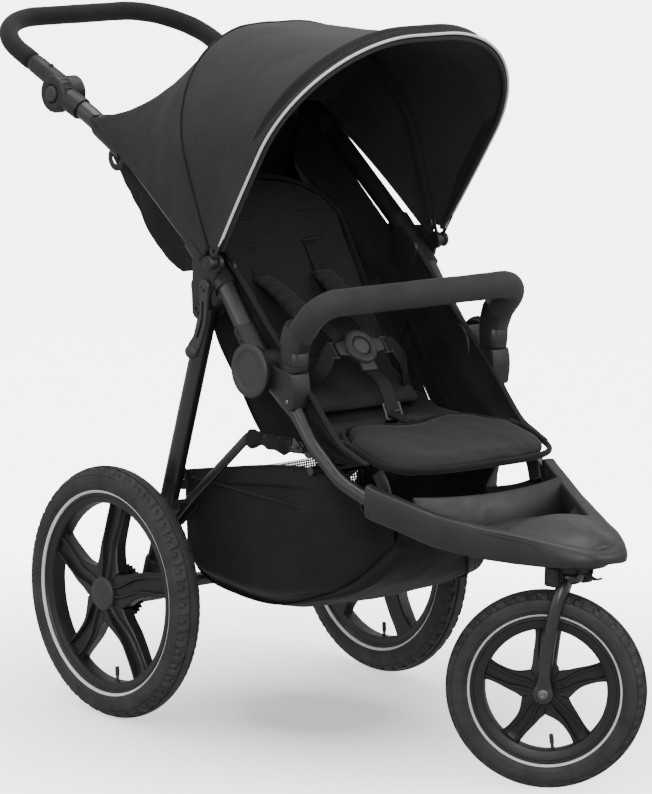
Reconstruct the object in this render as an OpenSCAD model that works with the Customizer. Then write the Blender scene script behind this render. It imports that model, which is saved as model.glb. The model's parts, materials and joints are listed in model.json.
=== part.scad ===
// Three-wheeled pushchair with a folding tube frame, swivelling front wheel,
// reclining seat, folding canopy and height-adjustable handle.
// The front faces -Y and +Z is up. The origin is on the ground, under the middle of the
// whole part; the modules place pieces from the rear axle, and from_axle() moves them.

/* [Wheels] */
// Outer diameter of a rear tyre
rear_wheel_d = 400; // [390:1:404]
// Width of a rear tyre
rear_tyre_w = 48; // [40:1:50]
// Distance between the rear tyres' middles
rear_track = 556; // [552:1:570]
// Outer diameter of the front tyre
front_wheel_d = 306; // [290:1:310]
// Width of the front tyre
front_tyre_w = 44; // [36:1:46]
// How far the front fork is turned from straight ahead, in degrees
swivel = 40; // [0:1:60]
// How far the front axle lies behind the steering axis
trail = 27; // [20:1:30]
// Spokes in a wheel
spokes = 5; // [4:1:6]

/* [Frame] */
// Distance between the left and right frame tubes' middles
frame_w = 410; // [408:1:414]
// Outer diameter of the frame tubes
tube_d = 30; // [28:1:31]
// Wall thickness of the frame tubes
tube_wall = 1.5; // [1:0.1:3]
// Outer diameter of the folding hubs
hub_d = 84; // [80:1:86]
// Outer diameter of the brace tubes
brace_d = 14; // [12:1:15]

/* [Handle and bumper] */
// Outer diameter of the foam handle grip
grip_d = 30; // [28:1:32]
// Reach of the handle behind its joints
handle_reach = 254; // [240:1:256]
// Slope of the handle, in degrees
handle_tilt = 21; // [15:1:25]
// Outer diameter of the bumper bar's foam
bumper_d = 42; // [38:1:44]

/* [Seat] */
// Width of the seat pad
seat_w = 340; // [320:1:344]
// Thickness of the seat pad
seat_t = 24; // [20:1:25]
// Slope of the backrest from flat, in degrees
back_slope = 57; // [54:1:60]
// Length of the backrest
back_len = 450; // [420:1:460]

/* [Hidden] */
$fn = 48;

gap = 0.3;                      // room between pieces that don't touch
run = 0.05;                     // radial clearance of a turning or sliding fit
tube_r = tube_d / 2;
frame_x = frame_w / 2;
rear_r = rear_wheel_d / 2;
front_r = front_wheel_d / 2;
rear_x = rear_track / 2;

// Middle of the whole part, along Y, from the rear axle
middle_y = -175.75;

// Pivots, as [y, z] from the rear axle's point on the ground
AXLE = [0, rear_r];
HUB = [-268, 590];
BRACKET = [-130, 665];
BRACE_TOP = [-362, 484];
BRACE_FOOT = [-48, 314];
KNUCKLE = [238, 958];
CANOPY = [-169, 742];
RECLINE = [-222, 462];
KNEE = [-405, 469];
STEM_Y = -740;
BUMPER = [-335, 640];

// Folding hub, from its inner face outwards
hub_in = frame_x - tube_r - 3;
cheek = 8;
hub_out = frame_x + tube_r + 3;
hub_pin_r = 10;
hub_r = hub_d / 2;

// Frame tube routes on the left side
FRONT_ROUTE = [[frame_x, -292, 573], [frame_x, -345, 536], [frame_x, -385, 490],
               [200, -440, 443], [190, -508, 408]];
PUSH_ROUTE = [[frame_x, HUB[0] + 14, HUB[1] + 17], [207, -150, 727], [211, 60, 879],
              [214, 165, 931], [217, 196, 944]];
BRACE_ROUTE = [[frame_x, -358, 483], [frame_x, -238, 486], [frame_x, -86, 349]];
LEG_TOP = [frame_x, BRACKET[0], BRACKET[1]];
LEG_FOOT = [frame_x, AXLE[0], AXLE[1]];

// ---- helpers --------------------------------------------------------------------

module from_axle() translate([0, -middle_y, 0]) children();
module on_side(side) mirror([side > 0 ? 0 : 1, 0, 0]) children();
module both() for (side = [-1, 1]) on_side(side) children();

// Round bar from point a to point b
module rod(a, b, r) {
    d = b - a;
    translate(a) rotate([0, acos(d[2] / norm(d)), atan2(d[1], d[0])]) cylinder(h = norm(d), r = r);
}

// Bar through a list of points, with a ball at each bend
module chain(p, r) {
    for (i = [0:len(p) - 2]) rod(p[i], p[i + 1], r);
    for (i = [1:len(p) - 2]) translate(p[i]) sphere(r = r + 0.3);
}

// The same points with both ends drawn out by a little
function past(p, by) = let (n = len(p) - 1, a = p[0] - p[1], b = p[n] - p[n - 1])
    [for (i = [0:n]) i == 0 ? p[0] + a / norm(a) * by : i == n ? p[n] + b / norm(b) * by : p[i]];

module tube(p, r, wall) difference() {
    chain(p, r);
    chain(past(p, 2), r - wall);
}

// A drum along X, from x0 to x1, about the pivot c = [y, z]
module drum(c, x0, x1, r) translate([x0, c[0], c[1]]) rotate([0, 90, 0]) cylinder(h = x1 - x0, r = r);

// A plate of thickness x0..x1 whose outline is drawn in Y and Z
module plate(x0, x1) translate([x0, 0, 0]) rotate([90, 0, 90]) linear_extrude(height = x1 - x0) children();

// An arch of round bar in the XY plane: two legs that begin at y = start, two bends, and a
// straight crown at y = reach
module arch_bar(half, start, reach, bend, r) {
    for (side = [-1, 1]) translate([side * half, start, 0]) rotate([-90, 0, 0])
        cylinder(h = reach - bend - start, r = r);
    for (turn = [0, 90]) translate([(turn == 0 ? 1 : -1) * (half - bend), reach - bend, 0])
        rotate([0, 0, turn]) rotate_extrude(angle = 90) translate([bend, 0]) circle(r = r);
    translate([bend - half, reach, 0]) rotate([0, 90, 0]) cylinder(h = 2 * (half - bend), r = r);
}

// A shape drawn with X along the wheel's axle and Z up, moved to the swivelled front axle
module at_front_axle() translate([0, STEM_Y, 0]) rotate([0, 0, swivel]) translate([0, trail, front_r]) children();

// ---- wheels ---------------------------------------------------------------------

// Tyre with its axle along X and its middle at the origin
module tyre(r, w) {
    core = r - w / 2;
    color([0.05, 0.05, 0.05]) rotate([0, 90, 0]) difference() {
        rotate_extrude() translate([core, 0]) difference() {
            circle(d = w, $fn = 40);
            circle(d = w - 7, $fn = 40);
        }
        translate([0, 0, -w]) cylinder(h = 2 * w, r = r - w + 4);
    }
}

// Spoked rim with a bored hub; the spokes are flat bars with a rib
module rim(r, w, hub_w, bore_r) {
    seat_r = r - w + 4 - 0.05;
    color([0.09, 0.09, 0.09]) rotate([0, 90, 0]) difference() {
        union() {
            difference() {
                translate([0, 0, -w * 0.32]) cylinder(h = w * 0.64, r = seat_r);
                translate([0, 0, -w]) cylinder(h = 2 * w, r = seat_r - 14);
            }
            for (i = [0:spokes - 1]) rotate([0, 0, i * 360 / spokes]) {
                translate([18, -10, -5]) cube([seat_r - 24, 20, 10]);
                translate([18, -3, -8]) cube([seat_r - 24, 6, 16]);
            }
            translate([0, 0, -hub_w / 2]) cylinder(h = hub_w, r = 24);
        }
        translate([0, 0, -hub_w]) cylinder(h = 2 * hub_w, r = bore_r);
    }
}

rear_hub_w = 40;
bearing_r = 13;
axle_r = 6;
module at_rear_wheel(side) on_side(side) translate([rear_x, AXLE[0], AXLE[1]]) children();
module rear_tyre(side) at_rear_wheel(side) tyre(rear_r, rear_tyre_w);
module rear_rim(side) at_rear_wheel(side) rim(rear_r, rear_tyre_w, rear_hub_w, bearing_r);
module rear_bearings(side) color([0.6, 0.6, 0.62]) at_rear_wheel(side) for (end = [-1, 1])
    rotate([0, 90, 0]) translate([0, 0, end * (rear_hub_w / 2 - 5) - 4]) difference() {
        cylinder(h = 8, r = bearing_r);
        translate([0, 0, -1]) cylinder(h = 10, r = axle_r + run);
    }

// Holed brake ring on the inner end of a rear hub
ring_x = rear_x - rear_hub_w / 2 - 8;
pin_turn = 32;                  // distance of the brake pins from the axle
module brake_ring(side) color([0.15, 0.15, 0.15]) on_side(side)
    translate([ring_x, AXLE[0], AXLE[1]]) rotate([0, 90, 0]) difference() {
        cylinder(h = 8, r = 42);
        translate([0, 0, -1]) cylinder(h = 10, r = axle_r + 1);
        for (i = [0:11]) rotate([0, 0, i * 30]) translate([0, pin_turn, -1]) cylinder(h = 10, r = 5);
    }

module front_tyre() at_front_axle() tyre(front_r, front_tyre_w);
front_hub_w = 40;
module front_rim() at_front_axle() rim(front_r, front_tyre_w, front_hub_w, axle_r + run);

// ---- front fork and steering ----------------------------------------------------

fork_x = 34;
module front_axle() color([0.6, 0.6, 0.62]) at_front_axle() {
    drum([0, 0], -fork_x - 14, fork_x + 14, axle_r);
    for (side = [-1, 1]) on_side(side) drum([0, 0], fork_x + 9 + gap, fork_x + 15, 10);
}

crown_z = 336;
module fork() color([0.08, 0.08, 0.08]) {
    at_front_axle() for (side = [-1, 1]) on_side(side) difference() {
        union() {
            chain([[fork_x, 0, 2], [fork_x, -14, 150], [16, -trail, crown_z - front_r - 9]], 8);
            drum([0, 0], fork_x - 9, fork_x + 9, 13);
        }
        drum([0, 0], fork_x - 20, fork_x + 20, axle_r);
    }
    translate([0, STEM_Y, crown_z - 26]) cylinder(h = 26, r = 24);
    translate([0, STEM_Y, crown_z - 1]) cylinder(h = 50, r = 9);
}

module stem_housing() color([0.1, 0.1, 0.1]) translate([0, STEM_Y, 0]) difference() {
    union() {
        translate([0, 0, crown_z + gap]) cylinder(h = 18, r = 30);
        for (side = [-1, 1]) translate([side * 30 - 8, -12, crown_z - 3]) cube([16, 24, 21]);
        for (side = [-1, 1]) translate([side * 10 - 1.5, -42, crown_z + 2]) cube([3, 20, 12]);
    }
    drum([-36, crown_z + 8], -20, 20, 3 + run);
    translate([0, 0, crown_z - 20]) cylinder(h = 60, r = 9 + run);
    translate([0, 0, crown_z - 30]) cylinder(h = 30 + gap, r = 25);
}

// Spring-loaded tongue that stops the fork swivelling
LEVER = [STEM_Y - 36, crown_z + 8];
module swivel_lever() color([0.75, 0.75, 0.75]) {
    drum(LEVER, -8, 8, 3);
    translate([-6, LEVER[0] - 30, LEVER[1] - 10]) cube([12, 30, 3]);
    translate([-6, LEVER[0] - 3, LEVER[1] - 9]) cube([12, 4, 8]);
}

// ---- footrest tray --------------------------------------------------------------

module footrest_tray() color([0.07, 0.07, 0.07]) difference() {
    union() {
        hull() {
            translate([-122, -640, 388]) cube([244, 30, 6]);
            translate([-150, -560, 392]) cube([300, 12, 6]);
            translate([0, -800, 355]) cylinder(h = 6, r = 34);
        }
        hull() {
            translate([0, -744, 354.6]) cylinder(h = 34, r = 44);
            translate([0, -800, 356]) cylinder(h = 22, r = 34);
            translate([-60, -690, 372]) cube([120, 6, 24]);
        }
        for (side = [-1, 1]) on_side(side) {
            hull() {
                translate([60, -724, 370]) cylinder(h = 28, r = 12);
                translate([138, -600, 380]) cylinder(h = 40, r = 10);
            }
            hull() {
                translate([138, -600, 380]) cylinder(h = 40, r = 10);
                translate([176, -508, 396]) cylinder(h = 46, r = 12);
            }
        }
        translate([-150, -556, 392]) cube([300, 8, 28]);
    }
    translate([0, STEM_Y, crown_z - 20]) cylinder(h = 70, r = 9 + 2);
    for (side = [-1, 1]) on_side(side) chain(past(FRONT_ROUTE, 1), tube_r + run);
}

// ---- chassis tubes and hubs -----------------------------------------------------

module front_tube(side) color([0.1, 0.1, 0.1]) on_side(side) tube(FRONT_ROUTE, tube_r, tube_wall);

// Tube across the frame under the seat, with the ears that hold the braces' top ends
CROSS = [-366, 446];
module seat_cross_tube() color([0.1, 0.1, 0.1]) difference() {
    union() {
        drum(CROSS, 12 - frame_x, frame_x - 12, 7);
        both() for (x = [frame_x - 12, frame_x + 8]) plate(x, x + 4) polygon(
            [[-352, 518], [-351, 480], [-358, 438], [-374, 438], [-384, 480]]);
        both() drum(BRACE_TOP, frame_x - 9, frame_x + 9, 3);
    }
    both() rod([frame_x, -335, 547.5], [frame_x, -395, 478.5], tube_r + run);
}

// Fixed half of a folding hub: two cheeks, a web in front, the pin, and the bumper socket
module hub_housing(side) color([0.06, 0.06, 0.06]) on_side(side) difference() {
    union() {
        drum(HUB, hub_in - cheek, hub_in, hub_r - 4);
        drum(HUB, hub_out, hub_out + cheek, hub_r - 4);
        drum(HUB, hub_in - cheek, hub_out + cheek, hub_pin_r);
        plate(hub_in - 1, hub_out + 1) translate(HUB) intersection() {
            difference() {
                circle(r = hub_r - 6);
                circle(r = tube_r + 10);
            }
            polygon([[0, 0], [-20, 56], [-60, 56], [-60, -56], [-25, -54]]);
        }
        translate([frame_x - 19, BUMPER[0] - 25, 556]) cube([38, 62, 40]);
    }
    rod([frame_x, -291, 573.7], [frame_x, -400, 497.6], tube_r + run);
    rod([frame_x, BUMPER[0], 500], [frame_x, BUMPER[0], 600], 8 + run);
}

// Outer cover discs, with a shallow dish
module hub_covers() color([0.12, 0.12, 0.12]) both() difference() {
    drum(HUB, hub_out + cheek, hub_out + cheek + 5, hub_r);
    drum(HUB, hub_out + cheek + 3, hub_out + cheek + 6, hub_r - 14);
}

// ---- upper frame ----------------------------------------------------------------

module hub_eye(side) difference() {
    drum(HUB, hub_in + gap, hub_out - gap, 23);
    drum(HUB, hub_in - 1, hub_out + 1, hub_pin_r + run);
}

module pushbar(side) color([0.1, 0.1, 0.1]) on_side(side) {
    difference() {
        tube(PUSH_ROUTE, tube_r, tube_wall);
        drum(HUB, hub_in - 1, hub_out + 1, 16);
    }
    hub_eye(side);
}

// Two cheeks that carry the rear leg's pivot and hold the pushbar
ear_in = frame_x - tube_r - 1;
ear_out = frame_x + tube_r + 1;
module bracket_outline() hull() {
    translate(BRACKET) circle(r = 17);
    translate([-152, 727]) circle(r = 18);
    translate([-128, 744]) circle(r = 17);
}
module bracket(side) color([0.07, 0.07, 0.07]) on_side(side) difference() {
    union() {
        plate(ear_in - 6, ear_in) bracket_outline();
        plate(ear_out, ear_out + 6) bracket_outline();
        plate(ear_in - 1, ear_out + 1) intersection() {
            bracket_outline();
            translate([-180, 700]) square([90, 60]);
        }
        drum(BRACKET, ear_in - 1, ear_out + 1, 5);
        drum([-150, 700], ear_out + 5, ear_out + 14, 5);
    }
    chain(past(PUSH_ROUTE, 1), tube_r + run);
}

module latch(side) color([0.05, 0.05, 0.05]) on_side(side) difference() {
    union() {
        drum([-150, 700], ear_out + 6 + gap, ear_out + 14, 11);
        plate(ear_out + 6 + gap, ear_out + 14) hull() {
            translate([-150, 700]) circle(r = 11);
            translate([-149, 651]) circle(r = 9);
        }
        plate(ear_out + 6 + gap, ear_out + 14) hull() {
            translate([-149, 651]) circle(r = 9);
            translate([-124, 598]) circle(r = 10);
        }
    }
    drum([-150, 700], ear_out, ear_out + 20, 5 + run);
    plate(ear_out, ear_out + 20) polygon([[-153, 684], [-146, 684], [-142, 648], [-128, 614], [-134, 610], [-151, 646]]);
}

module tube_collars() color([0.08, 0.08, 0.08]) both() difference() {
    union() {
        rod([212.5, 150, 924], [213.7, 175, 934.7], tube_r + 4);
        translate([213, 163, 908]) rotate([0, 90, 0]) rotate_extrude() translate([14, 0]) square([3, 14], center = true);
    }
    chain(past(PUSH_ROUTE, 1), tube_r + run);
}

// Toothed joint that holds the handle: the fixed half ends the pushbar
knuckle_r = 30;
knuckle_x = 214;
module knuckle_housings() color([0.07, 0.07, 0.07]) both() difference() {
    union() {
        drum(KNUCKLE, knuckle_x, knuckle_x + 22, knuckle_r);
        difference() {
            rod([216, 178, 936.6], [219, 224, 955], tube_r + 3);
            drum(KNUCKLE, 180, knuckle_x, knuckle_r);
        }
        drum(KNUCKLE, knuckle_x - 26, knuckle_x + 3, 8);
    }
    chain(past(PUSH_ROUTE, 1), tube_r + run);
    drum(KNUCKLE, knuckle_x + 14, knuckle_x + 23, 13);
}

module knuckle_button(side) color([0.15, 0.15, 0.15]) on_side(side) drum(KNUCKLE, knuckle_x + 18, knuckle_x + 25, 13 - run);

// ---- handle ---------------------------------------------------------------------

// The handle is a wide arch in a plane that slopes up behind the joints. In that plane X is
// the same and Y is the distance from the joints.
handle_x = 197;
bend_r = 112;
handle_r = 11;
module in_handle() translate([0, KNUCKLE[0], KNUCKLE[1]]) rotate([handle_tilt, 0, 0]) children();
module handle_bar(start, r) in_handle() arch_bar(handle_x, start, handle_reach, bend_r, r);

module handle_tube() color([0.1, 0.1, 0.1]) {
    difference() {
        handle_bar(30, handle_r);
        handle_bar(28, handle_r - 1.5);
    }
    difference() {
        union() {
            both() drum(KNUCKLE, 186, knuckle_x - gap, 27);
            in_handle() for (side = [-1, 1]) translate([side * handle_x, 20, 0]) rotate([-90, 0, 0])
                cylinder(h = 76, r = 14);
        }
        both() drum(KNUCKLE, 180, knuckle_x, 8 + run);
        in_handle() for (side = [-1, 1]) translate([side * handle_x, 32, 0]) rotate([-90, 0, 0])
            cylinder(h = 70, r = handle_r - 1);
    }
}
module handle_grip() color([0.04, 0.04, 0.04]) difference() {
    handle_bar(110, grip_d / 2);
    handle_bar(108, handle_r + run);
}

// ---- rear frame -----------------------------------------------------------------

module rear_leg(side) color([0.1, 0.1, 0.1]) on_side(side) difference() {
    union() {
        tube([LEG_TOP, LEG_FOOT], tube_r, tube_wall);
        drum(BRACKET, ear_in + gap, ear_out - gap, 15.5);
    }
    drum(BRACKET, ear_in - 1, ear_out + 1, 5 + run);
    drum(AXLE, 150, 250, 23);
}

module rear_axle() color([0.5, 0.5, 0.52]) {
    drum(AXLE, -186, 186, 11);
    drum(AXLE, -rear_x - 22, rear_x + 22, axle_r);
}

module axle_housings() color([0.07, 0.07, 0.07]) both() difference() {
    union() {
        drum(AXLE, 186, 246, 22.9);
        drum([AXLE[0] - pin_turn, AXLE[1]], 222, 246, 9);
        plate(226, 246) translate([AXLE[0] - pin_turn, AXLE[1] - 9]) square([20, 18]);
    }
    drum(AXLE, 180, 300, axle_r);
    drum([AXLE[0] - pin_turn, AXLE[1]], 220, 250, 3.5 + run);
}

module brake_pin(side) color([0.7, 0.7, 0.7]) on_side(side) {
    drum([AXLE[0] - pin_turn, AXLE[1]], 212, 249, 3.5);
    drum([AXLE[0] - pin_turn, AXLE[1]], 209, 213, 6);
}

module brake_pedal() color([0.08, 0.08, 0.08]) {
    difference() {
        union() {
            drum(AXLE, -34, 34, 16);
            hull() for (end = [-1, 1]) translate([end * 34, 62, rear_r - 3]) cylinder(h = 6, r = 14);
            translate([-22, 10, rear_r - 4]) cube([44, 50, 8]);
        }
        drum(AXLE, -60, 60, 11 + run);
    }
}

// ---- braces: one bent tube a side with a fork at its foot -------------------------

module brace(side) color([0.1, 0.1, 0.1]) on_side(side) {
    difference() {
        union() {
            chain(BRACE_ROUTE, brace_d / 2);
            drum(BRACE_TOP, frame_x - 7.7, frame_x + 7.7, 6);
        }
        drum(BRACE_TOP, frame_x - 10, frame_x + 10, 3 + run);
    }
    drum([-88, 351], frame_x - 20, frame_x + 20, 6);
    for (x = [frame_x - 20.4, frame_x + 16.4]) plate(x, x + 4) polygon(
        [[-95, 345], [-83, 359], [-42, 322], [-40, 312], [-46, 306], [-56, 308]]);
}

// ---- bumper bar -----------------------------------------------------------------

module bumper_arms() color([0.07, 0.07, 0.07]) both() {
    rod([frame_x, BUMPER[0], 574], [frame_x, BUMPER[0], 600], 8);
    translate([frame_x - 17, BUMPER[0] - 21, 596 + gap]) cube([34, 40, 34]);
    hull() {
        translate([frame_x - 14, BUMPER[0] - 17, 630]) cube([28, 32, 2]);
        rod([203, BUMPER[0] + 1, 640], [203, BUMPER[0] - 8, 651], 15);
    }
}
// The bar is an arch that leans forward over the child's lap
bar_lean = 130;
module bumper_bar() color([0.05, 0.05, 0.05]) translate([0, BUMPER[0], BUMPER[1]]) rotate([bar_lean, 0, 0])
    arch_bar(203, 16, 86, 46, bumper_d / 2);

// ---- canopy ---------------------------------------------------------------------

bow_x = 232;
bow_r = 3.5;
visor_lean = 122;
mid_lean = 68;
visor_crown = 420;
mid_crown = 363;

// A bow is two legs, two wide bends and a short crown
bow_bend = 200;

// A bow with a bored tab at each end; lift sets the tabs outside one another
module bow(r, lean, lift) {
    difference() {
        union() {
            translate([0, CANOPY[0], CANOPY[1]]) rotate([lean, 0, 0]) arch_bar(bow_x, 30, r, bow_bend, bow_r);
            both() drum(CANOPY, bow_x - bow_r + lift, bow_x - bow_r + lift + 3.5, 10);
            both() translate([bow_x - bow_r + lift, CANOPY[0], CANOPY[1]]) rotate([lean, 0, 0])
                translate([0, 0, -3]) cube([3.5, 40, 6]);
        }
        both() drum(CANOPY, bow_x - 10, bow_x + 20, 4 + run);
    }
}
module mid_bow() color([0.1, 0.1, 0.1]) bow(mid_crown, mid_lean, 0);
module visor_bow() color([0.1, 0.1, 0.1]) bow(visor_crown, visor_lean, 4);

// Pins on the brackets that both bows turn on
module canopy_hinges() color([0.08, 0.08, 0.08]) both() {
    drum(CANOPY, ear_out + 6, bow_x + 4.6, 4);
    drum(CANOPY, bow_x + 4.6, bow_x + 9, 11);
}

// A closed skin of a grid of points: outer face, and inner face drawn towards the middle
skin = 3;
function inward(p) = let (c = [0, -110, 740], d = p - c) c + d * (1 - skin / norm(d));
module cloth(grid) {
    rows = len(grid);
    cols = len(grid[0]);
    n = rows * cols;
    outer = [for (row = grid) for (p = row) p];
    inner = [for (p = outer) inward(p)];
    quads = [for (r = [0:rows - 2]) for (c = [0:cols - 2]) let (i = r * cols + c) [i, i + 1, i + cols + 1, i + cols]];
    rim_a = [for (c = [0:cols - 2]) [c + 1, c]];
    rim_b = [for (c = [0:cols - 2]) [(rows - 1) * cols + c, (rows - 1) * cols + c + 1]];
    rim_c = [for (r = [0:rows - 2]) [r * cols, (r + 1) * cols]];
    rim_d = [for (r = [0:rows - 2]) [(r + 1) * cols + cols - 1, r * cols + cols - 1]];
    tri = concat([for (q = quads) [q[0], q[1], q[2]]], [for (q = quads) [q[0], q[2], q[3]]]);
    back = [for (t = tri) [t[2] + n, t[1] + n, t[0] + n]];
    sides = [for (e = concat(rim_a, rim_b, rim_c, rim_d)) [e[0], e[1], e[1] + n, e[0] + n]];
    side_tri = concat([for (q = sides) [q[0], q[1], q[2]]], [for (q = sides) [q[0], q[2], q[3]]]);
    polyhedron(points = concat(outer, inner), faces = concat(tri, back, side_tri));
}

over = 8.6;                     // the fabric lies this far outside the bows
// Points 0 to 20 along the fabric's line over a bow, as [x, distance from the pivot]
function half_line(i, r) = let (a = (i - 3) * 15)
    i < 3 ? [bow_x + over, 50 + (r - bow_bend - 50) * i / 3] :
    i < 10 ? [bow_x - bow_bend + (bow_bend + over) * cos(a), r - bow_bend + (bow_bend + over) * sin(a)] :
    [0, r + over];
function line(i, r) = i <= 10 ? half_line(i, r) : let (p = half_line(20 - i, r)) [-p[0], p[1]];
function skin_arch(i, r, lean) = let (p = line(i, r)) [p[0], CANOPY[0] + p[1] * cos(lean), CANOPY[1] + p[1] * sin(lean)];
module canopy_front() color([0.12, 0.12, 0.12]) cloth([for (j = [0:8])
    [for (i = [0:20]) let (a = skin_arch(i, mid_crown, mid_lean + 1), b = skin_arch(i, visor_crown, visor_lean))
        a + (b - a) * j / 8]]);

// Rear skin: from the middle bow to a hem along the pushbars and across between them
HEM_FOOT = [CANOPY[0] + 40, CANOPY[1] + 44];
HEM_TOP = [162, 966];
hem_x = 240;
side_part = 0.6;
function hem(u) = let (k = 2 * min(u, 1 - u), along = min(1, k / side_part),
    x = hem_x * min(1, (1 - k) / (1 - side_part)))
    concat([sign(0.5 - u) * x], HEM_FOOT + along * (HEM_TOP - HEM_FOOT));
module canopy_rear() color([0.12, 0.12, 0.12]) cloth([for (j = [0:6])
    let (t = j / 6) [for (i = [0:20]) let (a = skin_arch(i, mid_crown, mid_lean - 1), b = hem(i / 20))
        b + (a - b) * t - [0, 0, 14 * sin(180 * t) * sin(180 * i / 20)]]]);

// Rear apron: a fabric tub behind the seat, open at the top and the front
module apron_outline() polygon([[150, 915], [128, 858], [65, 780], [26, 745], [-38, 708], [-90, 705], [-96, 735], [140, 925]]);
module rear_apron() color([0.11, 0.11, 0.11]) difference() {
    plate(-187, 187) apron_outline();
    plate(-184, 184) translate([-8, 14]) offset(delta = 3) apron_outline();
    plate(-184, 184) polygon([[-130, 690], [-53, 690], [44, 838], [-60, 838]]);
}

// ---- seat -----------------------------------------------------------------------

module seat_pad() color([0.13, 0.13, 0.13]) translate([-seat_w / 2, KNEE[0] + 10, KNEE[1] + 12 - seat_t]) cube([seat_w, 151, seat_t]);

module leg_rest() color([0.13, 0.13, 0.13]) translate([0, KNEE[0], KNEE[1] - seat_t / 2]) linear_extrude(height = seat_t) hull() {
    for (side = [-1, 1]) translate([side * (seat_w / 2 - 76), -80]) circle(r = 70);
    translate([-seat_w / 2, -6]) square([seat_w, 4]);
}

module seat_sides() color([0.12, 0.12, 0.12]) both() plate(174, 177) polygon(
    [[-430, 486], [-420, 502], [-190, 722], [-120, 735], [-60, 700], [-200, 486]]);

// Along the backrest from its hinge: [x, y up the slope, z out of its face]
module on_back() translate([0, RECLINE[0], RECLINE[1]]) rotate([back_slope, 0, 0]) children();
back_t = 26;
back_w = 280;
module backrest() color([0.13, 0.13, 0.13]) on_back() translate([0, 0, -back_t / 2]) linear_extrude(height = back_t) union() {
    translate([-back_w / 2, 12]) square([back_w, back_len - 112]);
    translate([0, back_len - 100 ]) intersection() {
        circle(r = back_w / 2);
        translate([-back_w / 2, 0]) square([back_w, 100]);
    }
}

module shoulder_harness() color([0.1, 0.1, 0.1]) on_back() both() {
    translate([38, 200, back_t / 2 + gap]) cube([46, 140, 16]);
    translate([49, 90, back_t / 2 + gap]) cube([25, 110, 3]);
}

// Buckle on the crotch strap, with its release button
BUCKLE = [-262, 596];
module at_buckle() translate([0, BUCKLE[0], BUCKLE[1]]) rotate([back_slope - 8, 0, 0]) children();
module harness_buckle() color([0.1, 0.1, 0.1]) at_buckle() difference() {
    union() {
        translate([0, 0, -8]) cylinder(h = 18, r = 30);
        translate([-45, -12, -5]) cube([90, 24, 10]);
    }
    translate([0, 0, 2]) cylinder(h = 20, r = 15 + run);
}
module buckle_button() color([0.2, 0.2, 0.2]) at_buckle() translate([0, 0, 6]) cylinder(h = 6, r = 15);

module lap_harness() color([0.1, 0.1, 0.1]) {
    plate(-14, 14) polygon([[-310, 482], [-334, 500], [-334, 520], [-287, 571], [-283, 567], [-328, 517], [-328, 502], [-304, 484], [-304, 482]]);
    both() plate(120, 124) polygon([[-262, 482], [-240, 482], [-246, 520], [-268, 520]]);
}

// ---- basket ---------------------------------------------------------------------

basket_x = 170;
module basket_outline() polygon([[-40, 392], [-300, 436], [-425, 420], [-505, 344], [-440, 275], [-380, 240],
                                 [-300, 212], [-200, 200], [-110, 204], [-62, 230]]);
module basket() color([0.1, 0.1, 0.1]) difference() {
    plate(-basket_x, basket_x) basket_outline();
    plate(3 - basket_x, basket_x - 3) offset(delta = -3) basket_outline();
    plate(3 - basket_x, basket_x - 3) polygon([[-46, 393], [-300, 437], [-420, 423], [-300, 300], [-68, 300]]);
}

// ---- nodes ----------------------------------------------------------------------

from_axle() front_tube(1);  // front_tube_left
from_axle() front_tube(-1);  // front_tube_right
from_axle() footrest_tray();
from_axle() seat_cross_tube();
from_axle() hub_housing(1);  // hub_housing_left
from_axle() hub_housing(-1);  // hub_housing_right
from_axle() hub_covers();
from_axle() seat_pad();
from_axle() seat_sides();
from_axle() basket();
from_axle() lap_harness();
from_axle() harness_buckle();
from_axle() buckle_button();
from_axle() stem_housing();
from_axle() pushbar(1);  // pushbar_left
from_axle() pushbar(-1);  // pushbar_right
from_axle() bracket(1);  // bracket_left
from_axle() bracket(-1);  // bracket_right
from_axle() tube_collars();
from_axle() knuckle_housings();
from_axle() rear_apron();
from_axle() canopy_hinges();
from_axle() mid_bow();
from_axle() canopy_rear();
from_axle() visor_bow();
from_axle() canopy_front();
from_axle() latch(1);  // latch_left
from_axle() latch(-1);  // latch_right
from_axle() handle_tube();
from_axle() handle_grip();
from_axle() knuckle_button(1);  // knuckle_button_left
from_axle() knuckle_button(-1);  // knuckle_button_right
from_axle() rear_leg(1);  // rear_leg_left
from_axle() rear_leg(-1);  // rear_leg_right
from_axle() rear_axle();
from_axle() axle_housings();
from_axle() brake_pedal();
from_axle() brake_pin(1);  // brake_pin_left
from_axle() brake_pin(-1);  // brake_pin_right
from_axle() brace(1);  // brace_left
from_axle() brace(-1);  // brace_right
from_axle() rear_tyre(1);  // rear_tyre_left
from_axle() rear_tyre(-1);  // rear_tyre_right
from_axle() rear_rim(1);  // rear_rim_left
from_axle() rear_rim(-1);  // rear_rim_right
from_axle() brake_ring(1);  // brake_ring_left
from_axle() brake_ring(-1);  // brake_ring_right
from_axle() rear_bearings(1);  // rear_bearings_left
from_axle() rear_bearings(-1);  // rear_bearings_right
from_axle() front_tyre();
from_axle() front_rim();
from_axle() fork();
from_axle() front_axle();
from_axle() bumper_arms();
from_axle() bumper_bar();
from_axle() backrest();
from_axle() shoulder_harness();
from_axle() leg_rest();
from_axle() swivel_lever();
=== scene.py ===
import math
import bpy
import bmesh
import numpy as np
from mathutils import Matrix, Vector, noise
import json


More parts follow.
